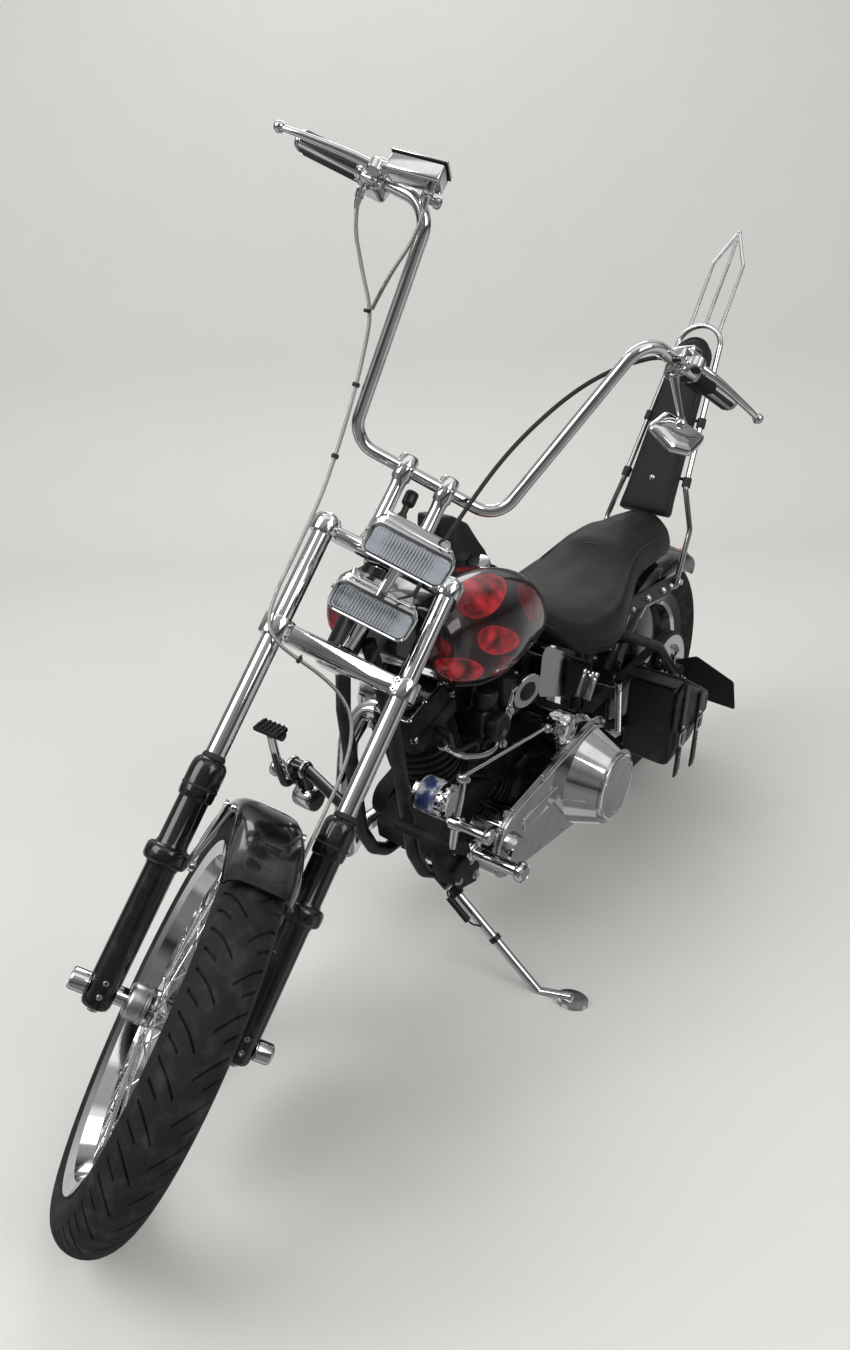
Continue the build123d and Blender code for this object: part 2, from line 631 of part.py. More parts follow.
with BuildPart() as tank_console:
    with BuildSketch(Plane.XZ):
        with BuildLine():
            Polyline((780, 790), (780, 834), (690, 776), (640, 758), (640, 744), close=True)
        make_face()
    extrude(amount=17, both=True)
    add(tank_skin, mode=Mode.SUBTRACT)
    add(lofted(SEAT), mode=Mode.SUBTRACT)
console = tank_console.part.solids().sort_by(SortBy.VOLUME)[-1]
with BuildPart() as filler_cap:
    with Locations(Location((812, 0, 838), (0, 22, 0))):
        Cylinder(22, 24)
    add(tank_skin, mode=Mode.SUBTRACT)
    add(console, mode=Mode.SUBTRACT)
cap = filler_cap.part.solids().sort_by(SortBy.VOLUME)[-1]
with BuildPart() as tank_dash:
    with BuildSketch(Plane.XZ.offset(22)):
        with BuildLine():
            Polyline((925, 800), (925, 960), (875, 950), (821, 922), (759, 852), (706, 796), (706, 745), close=True)
        make_face()
    extrude(amount=56)
    add(tank_skin, mode=Mode.SUBTRACT)
dash = tank_dash.part.solids().sort_by(SortBy.VOLUME)[-1]
with BuildPart() as seat:
    add(lofted(SEAT))
    with BuildSketch(Plane.XZ):
        with BuildLine():
            Polyline((20, 500), (20, 678), (430, 678), (480, 640), (480, 500), close=True)
        make_face()
    extrude(amount=118, both=True, mode=Mode.SUBTRACT)
    with BuildSketch(Plane.XZ):
        with BuildLine():
            Polyline((420, 560), (420, 658), (640, 698), (720, 718), (720, 560), close=True)
        make_face()
    extrude(amount=32, both=True, mode=Mode.SUBTRACT)

PAD_LOW, PAD_HIGH, PAD_THICK = Vector(30, 0, 762), Vector(-181, 0, 1172), 46
PAD_WAY = (PAD_HIGH - PAD_LOW).normalized()
with BuildPart() as backrest_pad:
    pad_plane = Plane(origin=PAD_LOW, x_dir=(0, 1, 0), z_dir=PAD_WAY.cross(Vector(0, 1, 0)))
    with BuildSketch(pad_plane) as pad_face:
        length = (PAD_HIGH - PAD_LOW).length
        direction = 1 if pad_plane.y_dir.dot(PAD_WAY) > 0 else -1
        with BuildLine():
            Polyline((-44, direction * (length - 44)), (-66, 0), (66, 0), (44, direction * (length - 44)))
            ThreePointArc((44, direction * (length - 44)), (0, direction * length), (-44, direction * (length - 44)))
        make_face()
    extrude(amount=PAD_THICK / 2, both=True)
    fillet(backrest_pad.edges(), 10)

SISSY = [(52, 117, 600), (-2, 115, 735), (-12, 84, 838), (-190, 55, 1163)]
with BuildPart() as sissy_bar:
    with BuildLine() as hoop:
        uprights = FilletPolyline(*SISSY, radius=40)
        far_side = FilletPolyline(*[(x, -y, z) for x, y, z in SISSY], radius=40)
        ThreePointArc(SISSY[-1], (-212, 0, 1204), (SISSY[-1][0], -SISSY[-1][1], SISSY[-1][2]))
    with BuildSketch(Plane(origin=SISSY[0], z_dir=uprights % 0)):
        Circle(7)
    sweep()
    for y in (-40, 0, 40):
        shoulder = (-312, y, 1345)
        foot = (-203 - (9 if y == 0 else 0), y, 1184 + (20 if y == 0 else 0))
        add(rod(foot, shoulder, 4.5))
        add(rod(shoulder, (-360, 0, 1420), 4.5))
    with Locations((-360, 0, 1420)):
        Sphere(6)
    for x, y, z, back in ((-18.6, 83, 850, -47), (-92.5, 71, 985, -116.6)):
        add(tube([(x, y, z), (back, y - 10, z), (back, 10 - y, z), (x, -y, z)], 5, 7))

with BuildPart() as side_bag:
    with BuildSketch(Plane.XZ.offset(-145.3)):
        with BuildLine():
            Polyline((140, 300), (200, 262), (340, 246), (345, 462), (300, 470), (140, 372), close=True)
        make_face()
    extrude(amount=-125)
    fillet(side_bag.edges().filter_by(Axis.Y), 16)
with BuildPart() as plate_holder:
    with Locations(Location((-60, 262, 345), (0, -8, 90))):
        Box(5, 190, 130)
    add(rod((-28, 140, 332), (-46, 260, 345), 7))
with BuildPart() as tail_lamp:
    with Locations(Location((-265, 0, 574), (0, -48, 0))):
        Cylinder(34, 36)
with BuildPart() as rear_caliper:
    with Locations((118, -86, 390)):
        Box(70, 58, 60)
    with Locations((95, -84.5, 390)):
        Box(150, 11, 80, mode=Mode.SUBTRACT)
    with Locations((100, -110.8, 424)):
        Box(24, 12, 30)
with BuildPart() as front_caliper:
    with Locations((-105, DISC_Y + 4, 66)):
        Box(70, 58, 66)
    with Locations((-90, DISC_Y + 2.5, 60)):
        Box(150, 13, 120, mode=Mode.SUBTRACT)
    with Locations((-50.4, 107, 66)):
        Box(50, 18, 40)
with BuildPart() as drive_belt:
    belt_in, belt_out = PULLEY_RADIUS + 1, PULLEY_RADIUS + 8
    with BuildSketch(Plane.XZ.offset(-PULLEY_Y + 12)):
        with Locations((0, 320)):
            Circle(belt_out)
        with Locations((560, 310)):
            Circle(70)
        make_hull()
    extrude(amount=-24)
    with BuildSketch(Plane.XZ.offset(-PULLEY_Y + 12)):
        with Locations((0, 320)):
            Circle(belt_in)
        with Locations((560, 310)):
            Circle(63)
        make_hull()
    extrude(amount=-24, mode=Mode.SUBTRACT)


def coil_spring(top, bottom):
    """A coil spring as a ribbed post between two points."""
    way = Vector(*bottom) - Vector(*top)
    ribs = [(0, 0)]
    count = int(way.length // 9)
    for number in range(count):
        ribs += [(13, number * 9 + 1), (13, number * 9 + 6), (9, number * 9 + 7), (9, number * 9 + 10)]
    ribs += [(9, way.length), (0, way.length)]
    with BuildPart() as spring:
        with BuildSketch(Plane.XZ):
            with BuildLine():
                Polyline(*ribs, close=True)
            make_face()
        revolve(axis=Axis.Z)
    return spring.part.moved(Plane(origin=top, z_dir=way).location)


with BuildPart() as rear_spring:
    add(coil_spring((386, 140, 442), (370, 140, 325)))
    add(rod((386, 140, 446), (398, 60, 446), 7))
    add(rod((370, 140, 322), (345, 92, 302), 7))
    add(swingarm.part, mode=Mode.SUBTRACT)
with BuildPart() as front_spring:
    add(coil_spring((512, 135, 522), (554, 135, 440)))
    add(rod((512, 135, 522), (512, 100, 522), 6))
    add(primary_cover.part, mode=Mode.SUBTRACT)
    add(oil_tank.part, mode=Mode.SUBTRACT)
springs = [spring.part.solids().sort_by(SortBy.VOLUME)[-1] for spring in (rear_spring, front_spring)]
breather_pipe = tube(
    [(792, 62, 590), (792, 104, 590), (838, 112, 596), (886, 112, 545), (985, 112, 540), (1034, 108, 570),
     (1026, 62.5, 588)], 8, 12,
)

# Brake line and clutch cable, in the fork's frame.
brake_line = cable(
    [(136, -308, 1287), (112, -300, 1255), (90, -252, 1198), (78, -208, 1148), (56, -192, 1100),
     (42, -177, 1042), (30, -165, 980), (20, -156, 925), (16, -148, 860), (16, -146, 800), (17, -145, 735),
     (22, -146, 675), (30, -138, 618), (38, -108, 596), (39, -66, 588), (38, -26, 582), (36, 14, 570), (36, 50, 545),
     (37, 70, 500), (33, 77, 445), (30, 78, 380), (30, 77, 310), (26, 79, 250), (12, 84, 195), (-24, 90, 160),
     (-66, 92, 138), (-92, 92, 103)], 3.2,
)
feed_line = cable(
    [(222, -216, 1297), (208, -206, 1262), (180, -203, 1231), (146, -211, 1184), (88, -210, 1150)], 3.2,
)
clutch_cable = cable(
    [(145, 268, 1316), (130, 251, 1314), (112, 232, 1302), (98, 208, 1281), (86, 176, 1240), (78, 148, 1190),
     (70, 122, 1128), (62, 102, 1068), (54, 88, 1008), (46, 78, 945), (34, 70, 885), (24, 66, 838), (20, 65, 790),
     (4, 62, 745), (-6, 54, 695), (-8, 50, 643.8)], 4,
)

# Side stand: pivot lug, leg, foot.
STAND_BEND = Vector(997, 311, 47)
# The stand's foot rests flat on the floor when the machine leans.


def lowest(centre, axle_end, ring_radius, crown):
    """Height of a tyre's lowest point from its centre and a unit step along its axle."""
    tilt = axle_end.Z - centre.Z
    return centre.Z - ring_radius * math.sqrt(1 - tilt * tilt) - crown


steered = Location((-FORK_OFFSET, 0, 0)) * Location((0, 0, 0), (0, 0, STEER)) * Location((FORK_OFFSET, 0, 0))
fork_place = FORK.location * steered


def place(location, point):
    """A point carried by a location."""
    return (location * Location(point)).position


pitch, lift = 0.0, 0.0
for attempt in range(8):
    parked = Location((0, 0, lift)) * Location((0, 0, 0), (0, pitch, 0)) * Location((0, 0, 0), (-LEAN, 0, 0))
    rear_low = lowest(
        place(parked, (0, 0, REAR_RADIUS)), place(parked, (0, 1, REAR_RADIUS)), REAR_RADIUS - REAR_CROWN, REAR_CROWN
    )
    front_low = lowest(
        place(parked * fork_place, (0, 0, 0)), place(parked * fork_place, (0, 1, 0)),
        FRONT_RADIUS - FRONT_CROWN, FRONT_CROWN,
    )
    pitch += math.degrees(math.atan2(front_low - rear_low, WHEELBASE))
    lift -= rear_low
foot_down = place(parked.inverse(), (place(parked, (990, 384, 36)).X, place(parked, (990, 384, 36)).Y, 0))
floor_normal = (place(parked.inverse(), (0, 0, 1)) - place(parked.inverse(), (0, 0, 0)))
with BuildPart() as side_stand:
    add(rod(STAND_PIVOT, STAND_BEND, 10))
    foot_top = foot_down + floor_normal * 10
    add(rod(STAND_BEND, foot_top, 10))
    with BuildSketch(Plane(origin=foot_down, z_dir=floor_normal)):
        Ellipse(34, 26)
    extrude(amount=9)
    with Locations(STAND_BEND):
        Sphere(10)

# Which body carries each piece, and the shape as drawn.
on_fork = {
    "upper_tree": upper_tree.part, "lower_tree": lower_tree.part,
    "fork_tubes": Compound(fork_tubes), "fork_legs": Compound(fork_legs), "front_axle": front_axle.part,
    "handlebar": handlebar, "risers": risers.part, "grips": Compound(grips), "bar_controls": Compound(bar_controls),
    "mirror": mirror.part, "headlamps": Compound(headlamps), "lamp_glasses": Compound(lamp_glasses),
    "brake_lines": Compound([brake_line, feed_line]), "clutch_cable": clutch_cable,
    "lamp_bracket": lamp_bracket.part, "front_fender": front_fender.part, "front_caliper": front_caliper.part,
    "front_tyre": front_tyre, "front_rim": front_rim.part, "front_hub": front_hub.part, "front_disc": front_disc.part,
}
at_rear = {"rear_tyre": rear_tyre, "rear_rim": rear_rim.part, "rear_pulley": rear_pulley.part, "rear_disc": rear_disc.part}
on_frame = {
    "frame_backbone": frame_backbone.part, "left_cradle": cradles["left"], "right_cradle": cradles["right"],
    "swingarm": swingarm.part, "rear_axle": rear_axle.part, "fender_struts": Compound(fender_struts),
    "rear_fender": rear_fender.part, "crankcase": crankcase.part, "front_cylinder": front_cylinder,
    "rear_cylinder": rear_cylinder, "primary_cover": primary_cover.part, "derby_cover": derby_cover.part,
    "oil_tank": oil_tank.part, "oil_filter": oil_filter.part, "starter_motor": starter_motor.part,
    "air_cleaner": air_cleaner.part, "exhaust_pipes": exhaust_pipes.part, "left_controls": left_controls.part,
    "right_controls": right_controls.part, "fuel_tank": fuel_tank.part, "filler_cap": cap, "tank_console": console,
    "tank_dash": dash,
    "seat": seat.part, "backrest_pad": backrest_pad.part, "sissy_bar": sissy_bar.part, "side_bag": side_bag.part,
    "plate_holder": plate_holder.part, "tail_lamp": tail_lamp.part, "rear_caliper": rear_caliper.part,
    "drive_belt": drive_belt.part, "springs": Compound(springs), "breather_pipe": breather_pipe,
    "side_stand": side_stand.part,
}
pieces = {}
for name, shape in on_fork.items():
    pieces[name] = shape.moved(parked * fork_place)
for name, shape in at_rear.items():
    pieces[name] = shape.moved(parked * Location((0, 0, REAR_RADIUS)))
for name, shape in on_frame.items():
    pieces[name] = shape.moved(parked)

# The origin is the middle of the whole machine's footprint box, on the floor.
boxes = [shape.bounding_box() for shape in pieces.values()]
MIDDLE = Vector(
    (min(box.min.X for box in boxes) + max(box.max.X for box in boxes)) / 2,
    (min(box.min.Y for box in boxes) + max(box.max.Y for box in boxes)) / 2,
    0,
)
for name, shape in pieces.items():
    piece = shape.moved(Location((-MIDDLE.X, -MIDDLE.Y, 0)))
    piece.label = name
    export_step(piece, f"parts/{name}.step")
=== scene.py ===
from math import asin, atan2, cos, degrees, exp, pi, radians, sin, sqrt

import bmesh
import bpy
from mathutils import Matrix, Vector, noise


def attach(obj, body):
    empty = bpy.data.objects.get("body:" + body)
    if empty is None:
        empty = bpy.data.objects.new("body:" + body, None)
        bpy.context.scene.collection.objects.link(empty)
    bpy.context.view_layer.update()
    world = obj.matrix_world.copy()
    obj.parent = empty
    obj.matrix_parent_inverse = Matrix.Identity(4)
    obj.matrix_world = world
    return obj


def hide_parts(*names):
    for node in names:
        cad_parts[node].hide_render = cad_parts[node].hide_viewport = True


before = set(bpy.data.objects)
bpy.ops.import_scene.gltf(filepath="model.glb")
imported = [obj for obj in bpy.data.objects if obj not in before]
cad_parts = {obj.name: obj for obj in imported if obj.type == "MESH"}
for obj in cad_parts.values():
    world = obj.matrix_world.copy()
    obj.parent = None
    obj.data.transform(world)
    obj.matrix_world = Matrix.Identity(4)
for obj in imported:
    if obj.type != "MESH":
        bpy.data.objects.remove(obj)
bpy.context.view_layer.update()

bl_info = {
    "name": "Chopper motorcycle",
    "version": (1, 0, 0),
    "blender": (4, 5, 0),
    "location": "3D View > Sidebar > Chopper",
    "description": "Dresses a parked chopper motorcycle's frame with its paint, chrome, leather and rubber",
    "category": "Object",
}

MM = 0.001
HANDS = (1, -1)  # left and right
# A turned profile stops at this radius, in millimetres, instead of at its axis.
CORE = 0.01

# The machine's own frame, upright and straight, in millimetres, and how it stands when parked.
WHEELBASE, FRONT_RADIUS, REAR_RADIUS = 1694, 345, 320
RAKE, FORK_OFFSET, STEER, LEAN, PITCH, LIFT = 41.5, 37, 44.5, 5.4, 1.0862, 0.368
# Where the parked machine's middle stands in that frame; the scene's own origin is there.
MIDDLE = (826.257, 149.784)
FORK_SIDE = 118  # from the machine's middle to each fork tube
CRANK, CYLINDER_LEAN = (907, 0, 310), 22.5  # the crankshaft, and each cylinder's lean from upright in degrees
STAND_PIVOT, STAND_BEND, STAND_AXIS = Vector((1024, 114, 226)), Vector((997, 311, 47)), Vector((-0.15, 0.45, 0.88))


def turned(angle, axis):
    """A turn about an axis, by degrees."""
    return Matrix.Rotation(radians(angle), 4, axis)


def moved(x, y, z):
    """A move in millimetres."""
    return Matrix.Translation((x, y, z))


def facing(origin, direction):
    """A frame at a point whose Z axis runs along a direction."""
    return moved(*origin) @ Vector(direction).to_track_quat("Z", "Y").to_matrix().to_4x4()


def sideways(x, y, z, hand=1):
    """A frame at a point whose Z axis runs to the left, or to the right for a hand of -1."""
    return facing((x, y, z), (0, hand, 0))


def frame_of(x_axis, y_axis, z_axis, origin):
    """A frame with these axes at a point."""
    return Matrix((*zip(x_axis, y_axis, z_axis, origin), (0, 0, 0, 1)))


def around(centre, radius, angles):
    """Pairs on a circle, at each of the angles."""
    turns = [radians(angle) for angle in angles]
    return [(centre[0] + radius * cos(turn), centre[1] + radius * sin(turn)) for turn in turns]


RAKE_SIN, RAKE_COS = sin(radians(RAKE)), cos(radians(RAKE))
FORK_AXES = Matrix(((RAKE_COS, 0, -RAKE_SIN, 0), (0, 1, 0, 0), (RAKE_SIN, 0, RAKE_COS, 0), (0, 0, 0, 1)))
MACHINE = moved(-MIDDLE[0], -MIDDLE[1], LIFT) @ turned(PITCH, "Y") @ turned(-LEAN, "X")
STEERED = moved(-FORK_OFFSET, 0, 0) @ turned(STEER, "Z") @ moved(FORK_OFFSET, 0, 0)
FORK = MACHINE @ moved(WHEELBASE, 0, FRONT_RADIUS) @ FORK_AXES @ STEERED
REAR = MACHINE @ moved(0, 0, REAR_RADIUS)
WHEEL_UP = turned(-90, "X")


class Value:
    """A shader node's output that works in Python sums."""

    def __init__(self, finish, socket):
        self.finish, self.socket = finish, socket

    def maths(self, operation, first, second=0.0):
        return self.finish.node("Math", {"operation": operation}, {0: first, 1: second})

    def __add__(self, other):
        return self.maths("ADD", self, other)

    def __radd__(self, other):
        return self.maths("ADD", other, self)

    def __sub__(self, other):
        return self.maths("SUBTRACT", self, other)

    def __rsub__(self, other):
        return self.maths("SUBTRACT", other, self)

    def __mul__(self, other):
        return self.maths("MULTIPLY", self, other)

    def __rmul__(self, other):
        return self.maths("MULTIPLY", other, self)

    def __truediv__(self, other):
        return self.maths("DIVIDE", self, other)

    def power(self, other):
        return self.maths("POWER", self, other)

    def most(self, other):
        return self.maths("MAXIMUM", self, other)

    def wave(self):
        return self.maths("SINE", self)

    def size(self):
        return self.maths("ABSOLUTE", self)

    def step(self, low, high):
        """0 below low, 1 above high, smooth between; the other way round if low is the larger."""
        if low < high:
            return self.finish.node("MapRange", {"interpolation_type": "SMOOTHSTEP"}, {0: self, 1: low, 2: high})
        return 1 - self.step(high, low)


class Finish:
    """One material and its shader."""

    def __init__(self, name, **sockets):
        self.material = bpy.data.materials.new(name)
        self.material.use_nodes = True
        self.tree = self.material.node_tree
        self.shader = self.tree.nodes["Principled BSDF"]
        self.set(**sockets)

    def node(self, kind, settings=None, inputs=None, output=0):
        made = self.tree.nodes.new("ShaderNode" + kind)
        for key, value in (settings or {}).items():
            if key == "stops":
                ramp = made.color_ramp
                while len(ramp.elements) < len(value):
                    ramp.elements.new(0.5)
                for element, (place, colour) in zip(ramp.elements, value):
                    element.position, element.color = place, (*colour, 1)
            else:
                setattr(made, key, value)
        for key, value in (inputs or {}).items():
            self.plug(made.inputs[key], value)
        return Value(self, made.outputs[output]) if made.outputs else None

    def plug(self, socket, value):
        if isinstance(value, Value):
            self.tree.links.new(value.socket, socket)
        elif isinstance(value, tuple) and len(value) == 3 and socket.type == "RGBA":
            socket.default_value = (*value, 1)
        else:
            socket.default_value = value

    def set(self, **sockets):
        for key, value in sockets.items():
            self.plug(self.shader.inputs[key.replace("_", " ").title().replace("Ior", "IOR")], value)
        return self

    def place(self):
        return self.node("TexCoord", output="Object")

    def local(self, matrix):
        """The place in one of the machine's frames, in millimetres."""
        back = matrix.inverted()
        scaled = self.node("VectorMath", {"operation": "SCALE"}, {0: self.place(), "Scale": 1 / MM})
        return self.node("Mapping", None, {0: scaled, 1: back.to_translation(), 2: back.to_euler()})

    def parts(self, vector):
        split = self.tree.nodes.new("ShaderNodeSeparateXYZ")
        self.plug(split.inputs[0], vector)
        return [Value(self, output) for output in split.outputs]

    def noise(self, scale, detail=3.0, roughness=0.55, vector=None):
        inputs = {0: vector or self.place(), "Scale": scale, "Detail": detail, "Roughness": roughness}
        return self.node("TexNoise", None, inputs)

    def cells(self, scale, feature="DISTANCE_TO_EDGE", vector=None):
        return self.node("TexVoronoi", {"feature": feature}, {0: vector or self.place(), "Scale": scale})

    def mix(self, factor, first, second):
        return self.node("Mix", {"data_type": "RGBA"}, {0: factor, 6: first, 7: second}, output=2)

    def bump(self, height, distance, strength=1.0):
        return self.node("Bump", None, {"Height": height, "Distance": distance, "Strength": strength})

    def tone(self, mask, first, second):
        """Sets the colour between two, by a mask."""
        return self.set(base_color=self.mix(mask, first, second))

    def relief(self, height, distance, strength=1.0):
        """Sets the fine relief of the surface."""
        return self.set(normal=self.bump(height, distance, strength))


class Sky(Finish):
    """The world's shader."""

    def __init__(self, world):
        self.tree = world.node_tree


FINISHES = {}


def finish(name):
    """The material of that name, made once."""
    if name not in FINISHES:
        FINISHES[name] = MAKERS[name]().material
    return FINISHES[name]


def polished_chrome():
    look = bpy.context.scene.chopper_metal
    chrome = Finish("polished chrome", metallic=1.0)
    haze = chrome.noise(22, 4)
    tone = tuple(look.chrome)
    dull = tuple(channel * 0.84 for channel in look.chrome)
    chrome.tone(haze.step(0.45, 0.75), tone, dull)
    chrome.set(roughness=look.gloss + 0.09 * chrome.noise(9, 5).step(0.45, 0.8))
    return chrome.relief(chrome.noise(300, 2), 0.00004, 0.5)


def brushed_steel():
    steel = Finish("brushed steel", metallic=1.0)
    fine = steel.noise(700, 2)
    steel.tone(fine, (0.42, 0.42, 0.42), (0.6, 0.6, 0.59))
    steel.set(roughness=0.26 + 0.16 * fine)
    return steel.relief(fine, 0.0001, 0.6)


def dark_steel():
    steel = Finish("dark steel", metallic=1.0)
    patches = steel.noise(60, 4)
    steel.tone(patches, (0.03, 0.03, 0.03), (0.09, 0.085, 0.08))
    return steel.set(roughness=0.3 + 0.3 * patches)


def gloss_black():
    paint = Finish("gloss black paint", coat_weight=0.6, coat_roughness=0.04, specular_ior_level=0.3)
    dust = paint.noise(40, 5)
    paint.tone(dust.step(0.5, 0.85), (0.006, 0.006, 0.007), (0.022, 0.021, 0.02))
    paint.set(roughness=0.16 + 0.16 * dust.step(0.45, 0.8))
    return paint.relief(paint.noise(160, 2), 0.00008, 0.35)


def frame_black():
    paint = Finish("semi gloss frame paint", coat_weight=0.15, coat_roughness=0.2, specular_ior_level=0.25)
    dust = paint.noise(30, 5)
    paint.tone(dust.step(0.45, 0.8), (0.008, 0.008, 0.008), (0.035, 0.032, 0.03))
    paint.set(roughness=0.34 + 0.22 * dust)
    return paint.relief(paint.noise(260, 3), 0.0001, 0.4)


def wrinkle_black():
    cast = Finish("black wrinkle paint", specular_ior_level=0.22)
    grain = cast.noise(520, 3)
    grime = cast.noise(18, 5)
    cast.tone(grime.step(0.4, 0.75), (0.007, 0.007, 0.007), (0.026, 0.024, 0.022))
    cast.set(roughness=0.5 + 0.25 * grain)
    return cast.relief(grain, 0.0004, 0.7)


def flame_paint():
    """Black under clear coat with rows of red teardrops, mottled in orange, that glow at their rims."""
    look = bpy.context.scene.chopper_paint
    paint = Finish("tank paint", coat_weight=0.75, coat_roughness=0.03, specular_ior_level=0.25)
    where = paint.local(MACHINE)
    x, y, z = paint.parts(where)
    side = y.size()
    body, rim, drift = None, None, None
    for (cx, cy, cz), (rx, ry, rz), slope, strength in TEARDROPS:
        along = (x - cx) / rx
        narrow = 1 + 0.2 * along
        across = (z - cz - slope * (x - cx)) / rz / narrow
        out = (side - cy) / ry
        reach = (along * along + across * across + out * out).power(0.5)
        inside = reach.step(1.03, 0.98) * strength
        edge = reach.step(0.84, 0.97) * inside
        glow = reach.step(1.5, 1.0) * strength
        body = inside if body is None else body.most(inside)
        rim = edge if rim is None else rim.most(edge)
        drift = glow if drift is None else drift.most(glow)
    swirl = paint.noise(21, 6, 0.62, paint.node("Mapping", None, {0: paint.place(), 3: (1.0, 1.0, 1.5)}))
    pits = paint.cells(30, "SMOOTH_F1")
    mottle = paint.node(
        "ValToRGB",
        {"stops": [(0.38, (0.03, 0.001, 0.002)), (0.5, (0.22, 0.005, 0.009)),
                   (0.6, (0.45, 0.011, 0.019)), (0.8, (0.62, 0.05, 0.045))]},
        {0: 0.65 * swirl + 0.5 * (1 - pits) - 0.1},
    )
    ground = paint.mix(drift * 0.35 * paint.noise(14, 4).step(0.35, 0.7), tuple(look.ground), (0.09, 0.004, 0.005))
    filled = paint.mix(rim * 0.4, mottle, tuple(look.rim))
    paint.set(base_color=paint.mix(body, ground, filled), roughness=0.2 + 0.1 * paint.noise(60))
    return paint.relief(paint.noise(140, 2), 0.00005, 0.3)


# The teardrops' middles and half sizes in the machine's frame; both sides of the tank have them.
TEARDROPS = (
    ((1000, 110, 856), (88, 52, 30), -0.1, 1.0), ((990, 154, 782), (68, 46, 28), 0.34, 0.95),
    ((1074, 136, 748), (52, 46, 26), 0.4, 0.9), ((956, 160, 714), (54, 38, 25), 0.34, 0.45),
    ((850, 138, 808), (52, 44, 38), 0.2, 0.36), ((930, 56, 882), (40, 26, 24), 0.0, 0.5),
    ((1126, 116, 800), (18, 34, 24), 0.0, 0.35), ((778, 104, 784), (34, 36, 24), 0.2, 0.2),
)


def tyre_rubber():
    look = bpy.context.scene.chopper_rubber
    rubber = Finish("tyre rubber", specular_ior_level=0.22)
    dust = rubber.noise(34, 6)
    dark = tuple(look.tyre)
    rubber.tone(dust.step(0.42, 0.8), dark, tuple(3.2 * channel for channel in look.tyre))
    rubber.set(roughness=0.62 + 0.25 * dust)
    return rubber.relief(rubber.noise(900, 2), 0.00025, 0.6)


def soft_rubber():
    rubber = Finish("black rubber", specular_ior_level=0.3)
    rubber.tone(rubber.noise(50, 4), (0.012, 0.012, 0.012), (0.03, 0.03, 0.029))
    rubber.set(roughness=0.5 + 0.2 * rubber.noise(90, 3))
    return rubber.relief(rubber.noise(800, 2), 0.0002, 0.5)


def braided_steel():
    """Woven steel hose under clear sheath."""
    hose = Finish("braided steel hose", metallic=1.0)
    x, y, z = hose.parts(hose.place())
    weave = ((x + z) * 2400).wave() * ((z - x) * 2400 + y * 900).wave()
    hose.tone(weave.step(-0.4, 0.5), (0.16, 0.155, 0.15), (0.62, 0.61, 0.58))
    hose.set(roughness=0.28 + 0.15 * weave.size())
    return hose.relief(weave, 0.0002, 0.7)


def seat_leather():
    """Black grained leather, greyer on its riding surface: partly real wear, partly a painted sheen on the seat's top.
    """
    look = bpy.context.scene.chopper_leather
    hide = Finish("black leather", specular_ior_level=0.26)
    grain = hide.cells(330)
    pores = hide.noise(900, 2)
    wear_and_sheen = hide.noise(11, 6).step(0.48, 0.72)
    crease = hide.cells(60, vector=hide.noise(9, 2) * 0.02 + hide.place())
    x, y, z = hide.parts(hide.local(MACHINE))
    # The top of the riding surface is painted lighter: real wear together with a painted sheen where the light falls.
    rubbed_and_sheen = x.step(330, 450) * x.step(650, 560) * z.step(640, 672) * y.size().step(150, 90)
    worn_and_sheen = (wear_and_sheen * (0.25 + 0.75 * rubbed_and_sheen)) * look.wear_and_sheen
    # The lighter grey is wear and painted sheen.
    hide.tone(worn_and_sheen, tuple(look.hide), (0.034, 0.031, 0.029))
    hide.set(roughness=0.36 + 0.2 * grain.step(0.0, 0.1) + 0.12 * worn_and_sheen)
    height = grain.step(0.0, 0.12) + 0.25 * pores + 0.3 * crease.step(0.0, 0.05)
    return hide.relief(height, look.grain * MM, 0.75)


def bag_leather():
    """Thick saddle leather with a waxed face."""
    hide = Finish("saddle leather", coat_weight=0.1, coat_roughness=0.25, specular_ior_level=0.28)
    grain = hide.cells(260)
    scuff = hide.noise(26, 6).step(0.52, 0.8)
    hide.tone(scuff, (0.007, 0.007, 0.007), (0.04, 0.038, 0.036))
    hide.set(roughness=0.3 + 0.25 * scuff + 0.1 * grain.step(0, 0.1))
    return hide.relief(grain.step(0, 0.15) + 0.4 * hide.noise(60, 4), 0.0003, 0.7)


def matt_plastic():
    plastic = Finish("matt black plastic", specular_ior_level=0.2)
    plastic.tone(plastic.noise(30, 4), (0.007, 0.007, 0.007), (0.015, 0.015, 0.015))
    plastic.set(roughness=0.48 + 0.12 * plastic.noise(400, 2))
    return plastic.relief(plastic.noise(1200, 2), 0.0001, 0.5)


def lamp_glass():
    """Pressed headlamp glass with upright flutes in three panels."""
    glass = Finish("ribbed lamp glass", transmission_weight=1.0, ior=1.5, base_color=(0.95, 0.97, 1.0))
    x, y, z = glass.parts(glass.local(FORK))
    middle = y.size().step(62, 30)
    flutes = (y * 1.25).wave() * (0.1 + 0.55 * middle)
    bands = (0.16 * (x * RAKE_SIN + z * RAKE_COS)).wave()
    glass.set(roughness=0.06 + 0.05 * glass.noise(200, 2))
    return glass.relief(flutes + 1.2 * bands, 0.0009, 0.9)


def reflector():
    """Silvered lamp bowl."""
    bowl = Finish("lamp reflector", metallic=1.0, base_color=(0.5, 0.52, 0.56))
    return bowl.set(roughness=0.12 + 0.1 * bowl.noise(80, 3), normal=bowl.bump(bowl.noise(30, 2), 0.001, 0.3))


def bulb_painted_highlight():
    """A bulb that glows behind the lens as a painted highlight, standing in for the bright spot in the lens's middle.
    """
    # The cool emission is a painted highlight, not a lit lamp.
    bulb_highlight = Finish("bulb_highlight", base_color=(0.98, 0.97, 0.94), emission_color=(0.86, 0.93, 1.0), emission_strength=2.5)
    return bulb_highlight.set(roughness=0.15 + 0.05 * bulb_highlight.noise(90))


